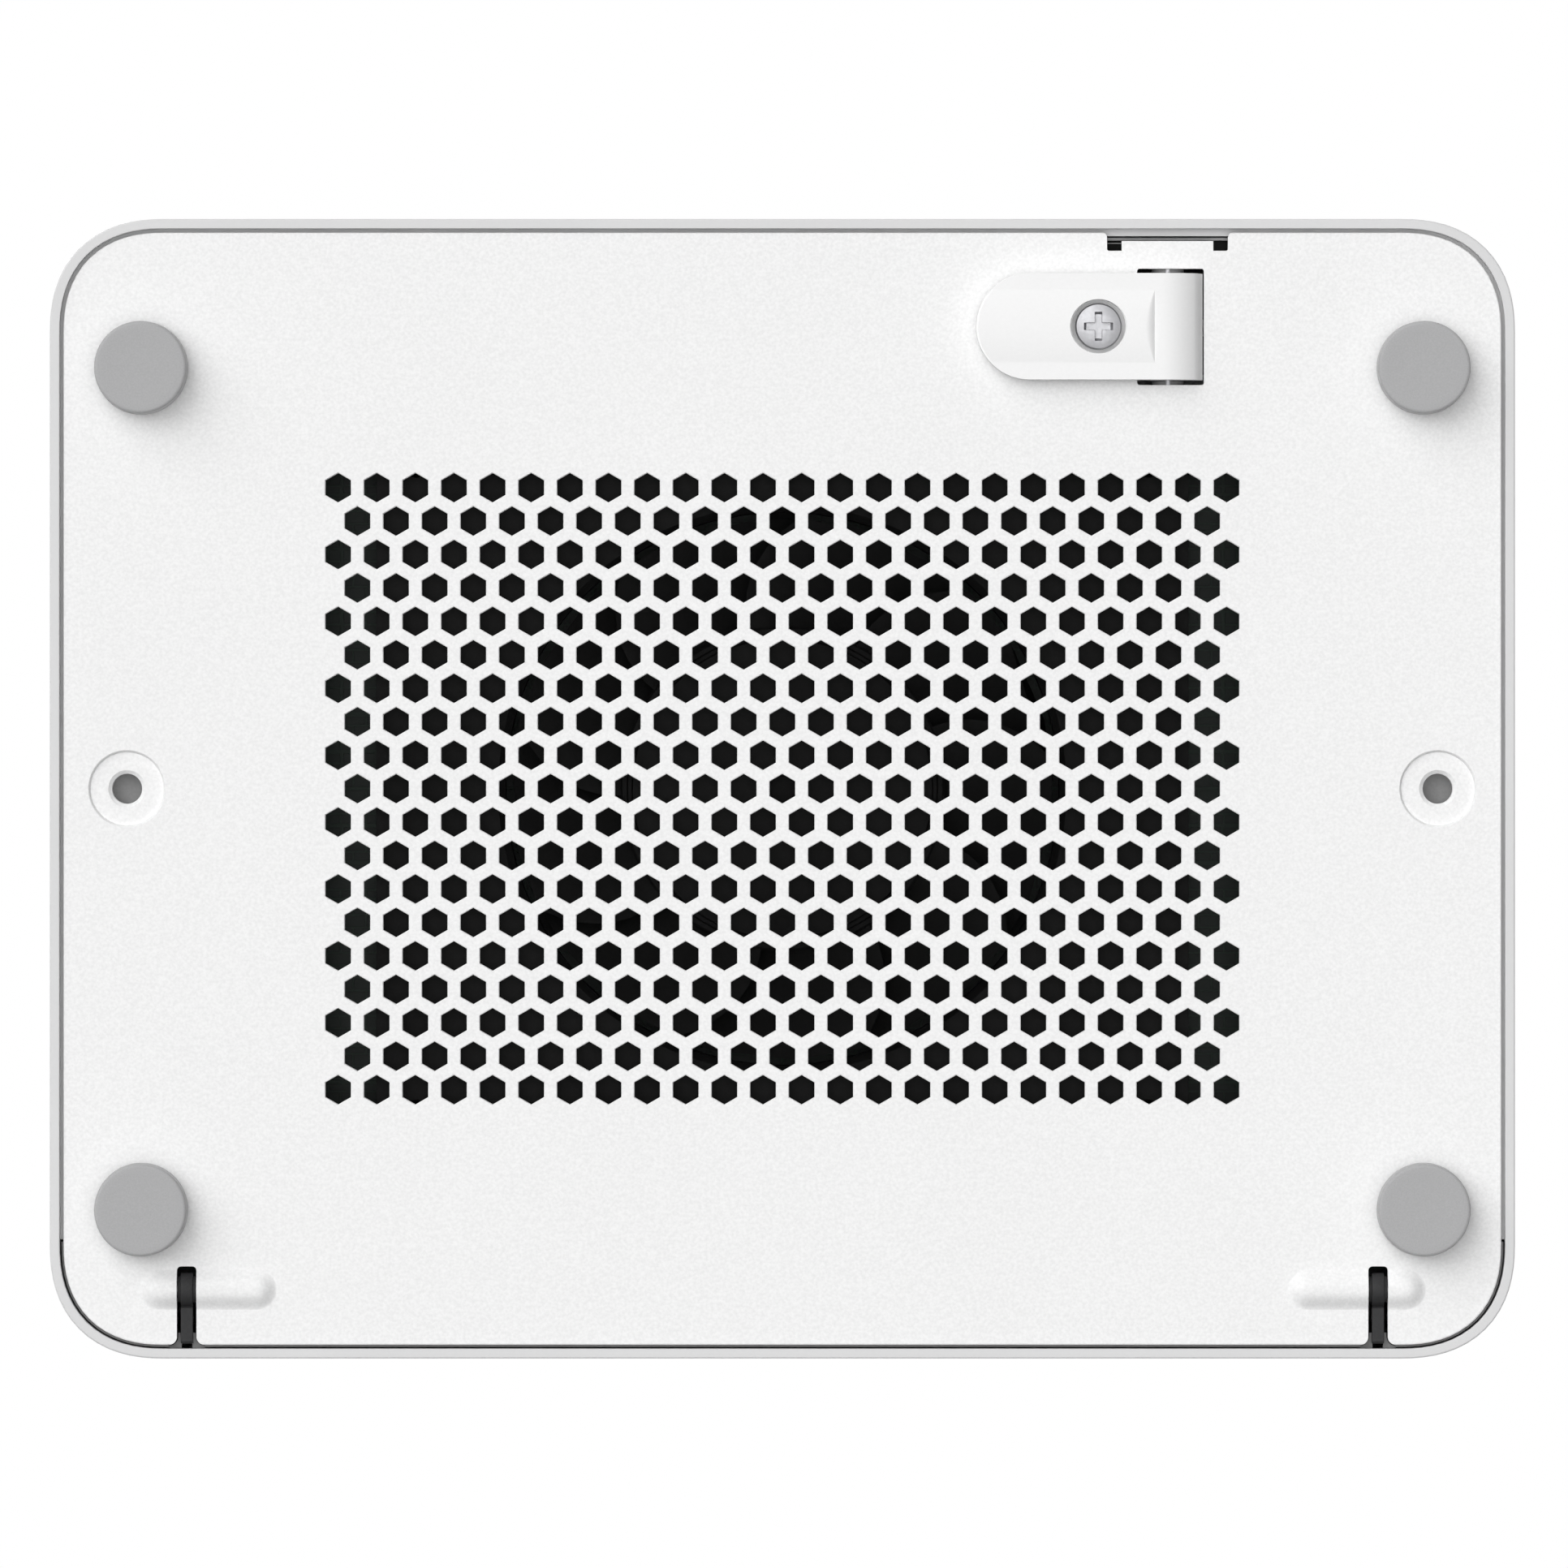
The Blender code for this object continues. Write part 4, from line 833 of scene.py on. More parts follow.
def fine_plate():
    plate = plate_body()
    pocket = prism("pocket", rounded(*POCKET, 0.3 * MM, 4), 0, 12 * MM)
    cutters = [pocket, latch_notch(), arm_slot(-1), arm_slot(1)]
    cut(plate, *cutters)
    soften(plate, 0.12 * MM, 2, 50)
    holes = [wall_screw_cutter(-1), wall_screw_cutter(1)]
    for side in (-1, 1):
        start = (side * (BULGE_SPAN[0] + 1.5 * MM), HINGE.y, HINGE.z)
        end = (side * (BULGE_SPAN[1] - 1.5 * MM), HINGE.y, HINGE.z)
        holes.append(rod(f"pin_bore_{side}", start, end, 1.25 * MM))
    holes.append(upright("boss_bore", SCREW_AT.x, SCREW_AT.y, 2 * MM, 12 * MM, 3.3 * MM, steps=36))
    start, end = (PIVOT.x, -64.9 * MM, PIVOT.z), (PIVOT.x, -48.1 * MM, PIVOT.z)
    holes.append(rod("lever_pin_bore", start, end, 0.8 * MM, steps=20))
    cut(plate, *holes)
    cut(plate, vent_cutters())
    return plate


def plate_ribs():
    """Low ribs on the plate's inner face, between the vents and the edge."""
    parts = []
    low_z, high_z = PLATE_INNER - 0.05 * MM, PLATE_INNER + 1.0 * MM
    for side in (-1, 1):
        x = side * 60 * MM
        parts.append(
            block(
                f"plate_rib_x_{side}",
                (x - 0.5 * MM, -46 * MM, low_z),
                (x + 0.5 * MM, 54 * MM, high_z),
                edge=0.12 * MM,
            )
        )
    for y in (-42.5 * MM, 42.5 * MM):
        for side in (-1, 1):
            low, high = sorted((side * 52 * MM, side * 74 * MM))
            parts.append(
                block(
                    f"plate_rib_y_{side}_{y:.3f}",
                    (low, y - 0.5 * MM, low_z),
                    (high, y + 0.5 * MM, high_z),
                    edge=0.12 * MM,
                )
            )
    return merge("plate_ribs", parts, FINISHES["white_textured"])


def pin_hubs():
    """The round ends that carry the lever's pin, one in each side gap of the pocket, grey as painted shade:
    pale plastic in shade in the narrow gaps.
    """
    hubs = []
    level = PIVOT.z + PIN_HUB_RISE
    for wall_y, end_y in ((POCKET[0][1], LEVER_LOW.y), (POCKET[1][1], LEVER_HIGH.y)):
        reach = 0.1 * MM if end_y > wall_y else -0.1 * MM
        start, end = (PIVOT.x, wall_y - 5 * reach, level), (PIVOT.x, end_y - reach, level)
        hubs.append(rod("pin_hub", start, end, PIN_HUB_R, steps=48))
    return merge("pin_hubs", hubs, FINISHES["painted_shade_grey"])


def rear_painted_strip():
    """A grey strip round the plate's rear edge, part-way across the seam, as painted light and shade: the
    grey that bounce light gives the dark frame's lip in the seam.
    """
    levels = ((PAINTED_STRIP_INSET, LIP_TOP - 0.2 * MM), (PAINTED_STRIP_INSET, LIP_TOP + 0.2 * MM))
    seal = loft("rear_painted_strip", case_rings(levels), FINISHES["painted_shade_grey"])
    inside = prism("painted_strip_inside", case_outline(PLATE_INSET + 0.8 * MM), 0, 1.0)
    under = prism("painted_strip_under", case_outline(PLATE_INSET + 0.01 * MM), 0, LIP_TOP - 0.01 * MM)
    front = block("painted_strip_front", (-1, -1, -1), (1, DARK_ZONE_Y, 1))
    return cut(seal, inside, under, front, arm_slot(-1), arm_slot(1))


def wall_hole_floors():
    """Grey discs at the bottoms of the two wall-screw holes, as painted shade over the white floors there.
    """
    discs = []
    for side in (-1, 1):
        bottom = PLATE_FACE + 3.3 * MM
        radius = WALL_HOLE_R - 0.01 * MM
        discs.append(upright("wall_hole_floor", side * WALL_SCREW_X, 0, bottom, bottom + 0.28 * MM, radius))
    return merge("wall_hole_floors", discs, FINISHES["painted_shade_grey"])


def foot(node):
    """A rubber foot: a straight side, a rounded edge and a slightly dished face."""
    low, high, middle = box_and_middle(node)
    base_r = (high.x - low.x) / 2
    face_r = base_r - 0.08 * MM
    edge = 0.42 * MM
    profile = [(0, high.z), (base_r - 0.15 * MM, high.z), (base_r, high.z - 0.15 * MM)]
    profile += [(face_r - edge + out, up) for out, up in arc((0, edge), edge, 0, -90, 6)]
    profile += [(face_r - 1.2 * MM, 0.02 * MM), (face_r - 2.5 * MM, 0.06 * MM), (0, 0.08 * MM)]
    return turned(node + "_fine", profile, at(middle.x, middle.y, 0), FINISHES["grey_rubber"], 64)


def steel_pin(node):
    """A pin with chamfered ends, along the longest side of its node's box."""
    low, high, start = box_and_middle(node)
    size = high - low
    longest = max(range(3), key=lambda axis: size[axis])
    end = start.copy()
    start[longest], end[longest] = low[longest], high[longest]
    radius = min(size) / 2
    return rod(node + "_fine", start, end, radius, FINISHES["zinc_steel"], 32, radius * 0.25)


# --- Lever and latch ---------------------------------------------------------------------------


def lever_plan(inset=0.0):
    """The lever's outline from below: a round tip, then straight sides to the knuckle."""
    half = (LEVER_HIGH.y - LEVER_LOW.y) / 2 - inset
    tip = LEVER_LOW.x + half + inset
    plan = arc((tip, LEVER_MIDDLE_Y), half, 90, 270, 32)
    reach = PIVOT.x + KNUCKLE_R + MM
    return plan + [(reach, LEVER_MIDDLE_Y - half), (reach, LEVER_MIDDLE_Y + half)]


def crown_rise(across):
    """How far the crowned pad stands proud, as a share, at this distance from its middle line."""
    return 1 - (across / CROWN_HALF) ** 2


def lever_crown():
    """The low crowned pad along the lever, from its tip to the scoop before the knuckle."""
    section = []
    for step in range(33):
        across = CROWN_HALF * (step / 16 - 1)
        section.append((LEVER_MIDDLE_Y + across, LEVER_FLAT - CROWN_HEIGHT * crown_rise(across)))
    for across in (CROWN_HALF, -CROWN_HALF):
        section.append((LEVER_MIDDLE_Y + across, LEVER_FLAT + 0.6 * MM))
    crown_pad = prism("lever_crown", section, LEVER_LOW.x - MM, SCOOP_X, "YZ")
    trim = prism("crown_trim", lever_plan(0.25 * MM), 0, 5 * MM)
    return combine(crown_pad, [trim], "INTERSECT")


def lever_scoop():
    """A cutter for the lens-shaped scoop at the crown's end, deepest at its straight edge."""
    rings = []
    for step in range(33):
        across = 0.985 * CROWN_HALF * (step / 16 - 1)
        rise = crown_rise(across)
        start_x = SCOOP_X - SCOOP_LENGTH * rise
        top = LEVER_FLAT - CROWN_HEIGHT * rise - 0.01 * MM
        drop = (CROWN_HEIGHT + SCOOP_DEPTH) * rise
        ramp_x = SCOOP_X + SCOOP_RAMP * rise
        outline = []
        for part in (0, 0.3, 0.5, 0.7, 0.85, 1):
            outline.append((start_x + (SCOOP_X - start_x) * part, top + drop * part**2))
        outline += [(ramp_x, LEVER_FLAT - 0.01 * MM), (ramp_x, 0.5 * MM), (start_x, 0.5 * MM)]
        rings.append([Vector((x, LEVER_MIDDLE_Y + across, z)) for x, z in outline])
    return loft("lever_scoop", rings)


def lever_blank():
    """The lever's side section across its width, trimmed to its outline from below."""
    radius = PIVOT.z - LEVER_FLAT
    reach = PIVOT.x + KNUCKLE_R - KNUCKLE_START
    section = [(LEVER_LOW.x - MM, LEVER_FLAT)]
    for across, down in arc((0, 0), 1.0, -90, STEEP_START - 90, 16):
        section.append((KNUCKLE_START + reach * across, PIVOT.z + radius * down))
    section.append((PIVOT.x + KNUCKLE_R, PIVOT.z - 0.2 * MM))
    section.append((PIVOT.x + KNUCKLE_R, PIVOT.z + 0.5 * MM))
    section += arc((PIVOT.x, PIVOT.z), 2.2 * MM, 0, 180, 12)
    section += [(PIVOT.x - 2.2 * MM, LEVER_INNER), (LEVER_LOW.x - MM, LEVER_INNER)]
    sides = (LEVER_LOW.y, LEVER_HIGH.y)
    blank = prism("release_lever_fine", section, *sides, "XZ", FINISHES["white_lever"])
    trim = prism("lever_trim", lever_plan(), 0, 12 * MM)
    combine(blank, [trim], "INTERSECT")
    return soften(blank, 0.28 * MM, 3, 50)


def crank():
    """The crank under the knuckle, with a round tooth at its end."""
    root = Vector((PIVOT.x, PIVOT.z))
    tooth = root + Vector((TOOTH_REACH, TOOTH_REACH))
    side = Vector((0.32, -0.32)) * MM
    outline = [root + 2.5 * side, tooth + side, tooth - side, root - 2.5 * side]
    sides = (PIVOT.y - MM, PIVOT.y + MM)
    neck = prism("crank_neck", outline, *sides, "XZ")
    start, end = ((tooth.x, y, tooth.y) for y in sides)
    return neck, rod("crank_tooth", start, end, TOOTH_R, edge=0.1 * MM)


def fine_lever():
    lever = lever_blank()
    join(lever, lever_crown(), *crank())
    counterbore = turned(
        "counterbore",
        [
            (0, -MM),
            (3.50 * MM, -MM),
            (3.50 * MM, LEVER_LOW.z),
            (COUNTERBORE_R, LEVER_LOW.z + 0.22 * MM),
            (COUNTERBORE_R, SCREW_HEAD_SEAT),
            (0, SCREW_HEAD_SEAT),
        ],
        at(SCREW_AT.x, SCREW_AT.y, 0),
        steps=64,
    )
    shank_hole = upright("shank_hole", SCREW_AT.x, SCREW_AT.y, 2 * MM, 6 * MM, 1.55 * MM, steps=36)
    bore = rod(
        "lever_bore",
        (PIVOT.x, LEVER_LOW.y - MM, PIVOT.z),
        (PIVOT.x, LEVER_HIGH.y + MM, PIVOT.z),
        0.85 * MM,
        steps=24,
    )
    cut(lever, counterbore, shank_hole, bore, lever_scoop())
    shade(lever, 30)
    return lever


def cross_recess(at_z, size, width, depth):
    """A cutter for a cross recess: two tapered wings and a deeper middle."""
    wings = []
    for number, turn in enumerate((0, math.pi / 2)):
        rings = []
        for level, shrink in ((-0.4 * MM, 1.0), (0.0, 1.0), (depth, 0.8)):
            half_long, half_wide = size / 2 * shrink, width / 2 * (0.4 + 0.6 * shrink)
            ring = rounded((-half_long, -half_wide), (half_long, half_wide), half_wide * 0.2, 3)
            rings.append([Matrix.Rotation(turn, 3, "Z") @ Vector((x, y, level)) for x, y in ring])
        wing = loft(f"wing_{number}", rings)
        wing.data.transform(at_z)
        wings.append(wing)
    return wings


def fine_screw():
    """The captive pan-head screw: a domed head with a cross recess, and a threaded shank."""
    low, high = SCREW_LOW, SCREW_HIGH
    head_r = (high.x - low.x) / 2
    seat = 3.3 * MM
    dome = [(0, low.z)]
    for step in range(1, 11):
        out = head_r * 0.94 * step / 10
        dome.append((out, low.z + 0.32 * MM * (step / 10) ** 2.4))
    dome += [(head_r * 0.98, low.z + 0.45 * MM), (head_r, low.z + 0.65 * MM)]
    dome.append((head_r, seat - 0.1 * MM))
    dome += [(head_r - 0.1 * MM, seat), (1.25 * MM, seat)]
    thread = []
    height = seat + 0.9 * MM
    while height < high.z - 0.6 * MM:
        thread += [(1.05 * MM, height), (1.25 * MM, height + 0.25 * MM)]
        height += 0.5 * MM
    tip = [(1.0 * MM, high.z - 0.3 * MM), (0.8 * MM, high.z), (0, high.z)]
    profile = dome + [(1.25 * MM, seat + 0.6 * MM)] + thread + tip
    place = at(SCREW_AT.x, SCREW_AT.y, 0)
    screw = turned("lever_screw_fine", profile, place, FINISHES["zinc_steel"], 64, angle=30)
    wings = cross_recess(at(SCREW_AT.x, SCREW_AT.y, low.z + 0.02 * MM), 3.7 * MM, 0.95 * MM, 0.7 * MM)
    cut(screw, *wings)
    shade(screw, 30)
    return screw


def knurled_insert():
    """The brass insert: a knurled side with chamfered ends, and its bore."""
    low, high, middle = box_and_middle("screw_insert")
    outer = (high.x - low.x) / 2
    rings = []
    for level, inner in ((low.z, 0.25), (low.z + 0.25 * MM, 0), (high.z - 0.25 * MM, 0), (high.z, 0.25)):
        ring = []
        for step in range(72):
            knurl = 0.12 * MM if step % 2 else 0.0
            angle = 2 * math.pi * step / 72
            radius = outer - knurl - inner * MM
            ring.append(Vector((radius * math.cos(angle), radius * math.sin(angle), level)))
        rings.append([point + Vector((middle.x, middle.y, 0)) for point in ring])
    insert = loft("screw_insert_fine", rings, FINISHES["brass"], 20)
    bore = upright("insert_bore", middle.x, middle.y, 0, 20 * MM, 1.95 * MM, steps=40)
    return cut(insert, bore)


def fine_slider():
    """The sliding latch: plate, web, latch bar, and the slot that the crank's tooth moves."""
    body_x = 44.0 * MM
    body = block(
        "latch_slider_fine",
        (body_x, -66.6 * MM, 9.8 * MM),
        (SLIDER_HIGH.x, SLIDER_HIGH.y, SLIDER_HIGH.z),
        FINISHES["black_plastic"],
    )
    web_high = (SLIDER_HIGH.x, -65.6 * MM, 10.3 * MM)
    web = block("slider_web", (body_x, -66.6 * MM, 7.7 * MM), web_high)
    bar = block(
        "latch_bar",
        (SLIDER_LOW.x, PAINTED_BAND_REAR_Y - 0.05 * MM, SLIDER_LOW.z + 0.9 * MM),
        (SLIDER_HIGH.x, -65.6 * MM, SLIDER_LOW.z + 2.0 * MM),
    )
    join(body, web, bar)
    tooth_x = PIVOT.x + TOOTH_REACH
    slot = prism(
        "tooth_slot",
        rounded((tooth_x - 1.1 * MM, -58.2 * MM), (tooth_x + 1.1 * MM, -55.3 * MM), 0.3 * MM),
        0,
        20 * MM,
    )
    windows = [
        block(f"slider_window_{number}", (45.6 * MM, y * MM, 0), (49.0 * MM, (y + 3.2) * MM, 20 * MM))
        for number, y in enumerate((-64.0, -54.6))
    ]
    cut(body, slot, *windows)
    return soften(body, 0.15 * MM, 2, 40)


def slider_painted_band():
    """A grey strip along the latch bar's edge, painted light and shade for the mid-grey band seen in the
    seam, and a short grey rib behind it, a painted highlight for lit edges.
    """
    strip = block(
        "slider_painted_band",
        (SLIDER_LOW.x, SLIDER_LOW.y, SLIDER_LOW.z),
        (SLIDER_HIGH.x, PAINTED_BAND_REAR_Y, SLIDER_LOW.z + 2.0 * MM),
        edge=0.05 * MM,
    )
    rib = block(
        "slider_painted_edge",
        (NOTCH_X[0] - MM, -67.16 * MM, SLIDER_LOW.z + 0.5 * MM),
        (TONGUE_X[0] + MM, -67.06 * MM, SLIDER_LOW.z + 1.5 * MM),
    )
    return merge("slider_painted_band", [strip, rib], FINISHES["grey_plastic"])


def fine_bracket():
    """The guide over the slider: a roof with the crank's slot, on a wall and two legs."""
    low, high = BRACKET_LOW, BRACKET_HIGH
    roof_z = high.z - 1.2 * MM
    bracket = block("latch_bracket_fine", (low.x, low.y, roof_z), high, FINISHES["grey_plastic"])
    wall = block("bracket_wall", (low.x, high.y - 1.1 * MM, low.z), high)
    left = block("bracket_left", low, (low.x + 1.2 * MM, high.y, high.z))
    right = block("bracket_right", (high.x - 1.1 * MM, low.y, low.z), high)
    rest = block("bracket_rest", (53.4 * MM, -62 * MM, low.z), (58 * MM, -48.5 * MM, 9.5 * MM))
    join(bracket, wall, left, right, rest)
    crank_slot = prism(
        "crank_slot", rounded((42 * MM, -58.5 * MM), (53.4 * MM, -55 * MM), 0.4 * MM), 0, 20 * MM
    )
    over_boss = block("over_boss", (44.7 * MM, -50 * MM, 0), (50.1 * MM, -47 * MM, 8.1 * MM))
    cut(bracket, crank_slot, over_boss)
    return soften(bracket, 0.18 * MM, 2, 40)


# --- Port side ---------------------------------------------------------------------------------


def fine_arm(side):
    """A hinge arm: an eye round the pin, a neck along the plate, and a riser up to the frame."""
    x = side * ARM_X
    eye = (HINGE.y, HINGE.z)
    end_y = 68.2 * MM
    neck_z = HINGE.z - 0.8 * MM
    outline = arc(eye, ARM_EYE_R, 90, 338, 32)
    outline += [(HINGE.y + ARM_EYE_R, HINGE.z - 0.35 * MM), (HINGE.y + ARM_EYE_R + 0.2 * MM, neck_z)]
    outline += [(end_y - 0.3 * MM, neck_z), (end_y, neck_z + 0.3 * MM), (end_y, 15.5 * MM)]
    outline += [(end_y - 2.4 * MM, 15.5 * MM), (end_y - 2.4 * MM, HINGE.z + ARM_EYE_R + 0.8 * MM)]
    outline.append((end_y - 3.2 * MM, HINGE.z + ARM_EYE_R))
    arm = prism(f"arm_{side}", outline, x - ARM_THICK / 2, x + ARM_THICK / 2, "YZ")
    boss_reach = Vector((SLOT_HALF - 0.08 * MM, 0, 0))
    middle = Vector((x, HINGE.y, HINGE.z))
    join(arm, rod(f"arm_boss_{side}", middle - boss_reach, middle + boss_reach, 1.6 * MM, steps=36))
    bore = rod(
        f"arm_bore_{side}",
        (x - 3 * MM, HINGE.y, HINGE.z),
        (x + 3 * MM, HINGE.y, HINGE.z),
        1.35 * MM,
        steps=32,
    )
    cut(arm, bore)
    return arm


def arm_flange(side):
    """The small flange that fills the mouth of an arm's slot, beside the arm. Its grey is painted light and
    shade, the tone that bounce light gives the dark frame's lip there.
    """
    outline = slot_outline(side, 0.12 * MM)
    levels = (FLANGE_LOW, FLANGE_LOW + 1.2 * MM)
    flange = prism(f"flange_{side}", outline, *levels, finish=FINISHES["painted_shade_grey"])
    far = block(f"flange_far_{side}", (-1, HALF_Y - RIM_WALL - 0.04 * MM, -1), (1, 1, 1))
    near = block(f"flange_near_{side}", (-1, -1, -1), (1, 66.9 * MM, 1))
    x = side * ARM_X
    reach = ARM_THICK / 2 - 0.1 * MM
    past_arm = block(f"flange_arm_{side}", (x - reach, -1, -1), (x + reach, 1, 1))
    return cut(flange, far, near, past_arm)


def fine_port_frame():
    """The dark frame: wrapped corners, the port panel in the shell's window, and the two arms."""
    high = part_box("port_frame")[1]
    outer, wall = RIM_WALL + 0.3 * MM, 2.0 * MM
    levels = (12.9 * MM, high.z)
    ring = prism("port_frame_fine", case_outline(outer), *levels, "XY", FINISHES["dark_plastic"])
    inside = prism("frame_inside", case_outline(outer + wall), 0, 1.0)
    front = block("frame_front", (-1, -1, -1), (1, DARK_ZONE_Y, 1))
    cut(ring, inside, front)
    panel = prism(
        "port_panel",
        rounded((-75.7 * MM, 15.3 * MM), (75.7 * MM, 36.7 * MM), 1.3 * MM, 6),
        67.5 * MM,
        high.y,
        "XZ",
    )
    join(ring, panel, fine_arm(-1), fine_arm(1))
    soften(ring, 0.15 * MM, 2, 50)
    holes = []
    for node in PORT_NODES:
        port_low, port_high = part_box(node)
        mouth_low = (port_low.x - PORT_GAP, port_low.z - PORT_GAP)
        mouth_high = (port_high.x + PORT_GAP, port_high.z + PORT_GAP)
        mouth = (mouth_low, mouth_high, 0.4 * MM, high.y, 1, 0.25 * MM)
        holes.append(opening(node + "_hole", *mouth, steps=4, depth=6 * MM))
    for node in BUTTON_NODES:
        button_low, button_high, middle = box_and_middle(node)
        radius = (button_high.x - button_low.x) / 2 - BUTTON_FLANGE + PORT_GAP
        holes.append(
            turned(
                node + "_hole",
                [
                    (0, -8 * MM),
                    (radius, -8 * MM),
                    (radius, -0.3 * MM),
                    (radius + 0.3 * MM, 0),
                    (radius + 0.3 * MM, MM),
                    (0, MM),
                ],
                along((0, 1, 0), (middle.x, high.y, middle.z)),
                steps=40,
            )
        )
    cut(ring, *holes)
    return ring


def network_sockets(node, sockets, finish):
    """Network sockets: a plated shield, keyed mouths, and a dark liner with gold contacts."""
    low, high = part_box(node)
    pitch = (high.x - low.x) / sockets
    body = block(node + "_fine", low, high, finish, 0.2 * MM)
    mouths = []
    contacts = []
    liners = []
    for number in range(sockets):
        x = low.x + (number + 0.5) * pitch
        mouth_low, mouth_high = 26.2 * MM, 34.4 * MM
        rear = high.y
        step_half, tab_half = 3.2 * MM, 5.9 * MM
        outline = [
            (x - tab_half, mouth_low),
            (x - step_half, mouth_low),
            (x - step_half, mouth_low - 1.8 * MM),
            (x + step_half, mouth_low - 1.8 * MM),
            (x + step_half, mouth_low),
            (x + tab_half, mouth_low),
            (x + tab_half, mouth_high),
            (x - tab_half, mouth_high),
        ]
        mouths.append(prism(f"mouth_{number}", outline, rear - 12.5 * MM, rear + MM, "XZ"))
        for contact in range(8):
            cx = x + (contact - 3.5) * 1.02 * MM
            start = Vector((cx, rear - 2.5 * MM, mouth_high - 0.4 * MM))
            end = Vector((cx, rear - 10.5 * MM, mouth_high - 3.4 * MM))
            side = Vector((0.22 * MM, 0, 0))
            up = Vector((0, 0, 0.14 * MM))
            rings = [
                [point - side - up, point + side - up, point + side + up, point - side + up]
                for point in (start, start.lerp(end, 0.85), end)
            ]
            contacts.append(loft(f"contact_{number}_{contact}", rings))
        for edge in (-1, 1):
            wall_x = sorted((x + edge * tab_half, x + edge * (tab_half - 0.35 * MM)))
            liners.append(
                block(
                    f"liner_{number}_{edge}",
                    (wall_x[0], rear - 12.4 * MM, mouth_low + 0.02 * MM),
                    (wall_x[1], rear - 0.4 * MM, mouth_high - 0.02 * MM),
                )
            )
        liners.append(
            block(
                f"liner_back_{number}",
                (x - tab_half + 0.02 * MM, rear - 12.45 * MM, mouth_low + 0.02 * MM),
                (x + tab_half - 0.02 * MM, rear - 11.9 * MM, mouth_high - 0.02 * MM),
            )
        )
    cut(body, *mouths)
    return body, merge(node + "_contacts", contacts, FINISHES["gold"]), merge(
        node + "_liners", liners, FINISHES["black_plastic"]
    )


def usb_pieces():
    """The USB socket: a steel tube on two legs, and its tongue with four contacts."""
    low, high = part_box("usb_socket")
    tube_low = 25.2 * MM
    x_low, x_high = low.x, high.x
    outer = prism(
        "usb_socket_fine",
        rounded((x_low, tube_low), (x_high, 31.8 * MM), 0.6 * MM, 4),
        low.y,
        high.y,
        "XZ",
        FINISHES["plated_steel"],
    )
    mouth = prism(
        "usb_mouth",
        rounded((x_low + 0.35 * MM, tube_low + 0.75 * MM), (x_high - 0.35 * MM, 31.05 * MM), 0.4 * MM, 4),
        high.y - 9.5 * MM,
        high.y + MM,
        "XZ",
    )
    cut(outer, mouth)
    legs = [
        block(
            f"usb_leg_{number}",
            (x, low.y + 1.5 * MM, low.z),
            (x + 0.4 * MM, low.y + 9.5 * MM, tube_low + 0.3 * MM),
        )
        for number, x in enumerate((x_low + 0.5 * MM, x_high - 0.9 * MM))
    ]
    join(outer, *legs)
    middle = (x_low + x_high) / 2
    tongue = block(
        "usb_tongue",
        (middle - 5.5 * MM, high.y - 9.6 * MM, 28.8 * MM),
        (middle + 5.5 * MM, high.y - 0.7 * MM, 30.6 * MM),
        FINISHES["black_plastic"],
        0.15 * MM,
    )
    pads = [
        block(
            f"usb_pad_{number}",
            (middle + (number - 1.5) * 2.3 * MM - 0.5 * MM, high.y - 8.5 * MM, 28.68 * MM),
            (middle + (number - 1.5) * 2.3 * MM + 0.5 * MM, high.y - 1.2 * MM, 28.85 * MM),
        )
        for number in range(4)
    ]
    return outer, tongue, merge("usb_pads", pads, FINISHES["gold"])


def inlet_pieces():
    """The power inlet: a round well in a block, with a pin in its middle."""
    low, high, middle = box_and_middle("power_inlet")
    x = middle.x
    z = 28.0 * MM
    body = block("power_inlet_fine", low, high, FINISHES["dark_plastic"], 0.25 * MM)
    well = turned(
        "inlet_well",
        [
            (0, -9 * MM),
            (3.1 * MM, -9 * MM),
            (3.1 * MM, -0.5 * MM),
            (3.5 * MM, 0),
            (3.5 * MM, MM),
            (0, MM),
        ],
        along((0, 1, 0), (x, high.y, z)),
        steps=40,
    )
    cut(body, well)
    pin = rod(
        "inlet_pin",
        (x, high.y - 9.5 * MM, z),
        (x, high.y - 1.2 * MM, z),
        1.0 * MM,
        FINISHES["plated_steel"],
        24,
        0.3 * MM,
    )
    return body, pin


def fine_button(node):
    """A push button with a rounded edge and a dished face."""
    low, high, middle = box_and_middle(node)
    flange_r = (high.x - low.x) / 2
    radius = flange_r - BUTTON_FLANGE
    length = high.y - low.y
    edge = min(0.4 * MM, radius * 0.3)
    profile = [(0, length - 0.12 * MM), (radius * 0.45, length - 0.08 * MM)]
    profile += [(radius - edge + out, length - edge + up) for out, up in arc((0, 0), edge, 90, 0, 5)]
    profile += [(radius, MM), (flange_r, MM), (flange_r, 0), (0, 0)]
    place = along((0, 1, 0), (middle.x, low.y, middle.z))
    return turned(node + "_fine", profile, place, FINISHES["button_plastic"], 40)


# --- Fan, board and antennas -------------------------------------------------------------------


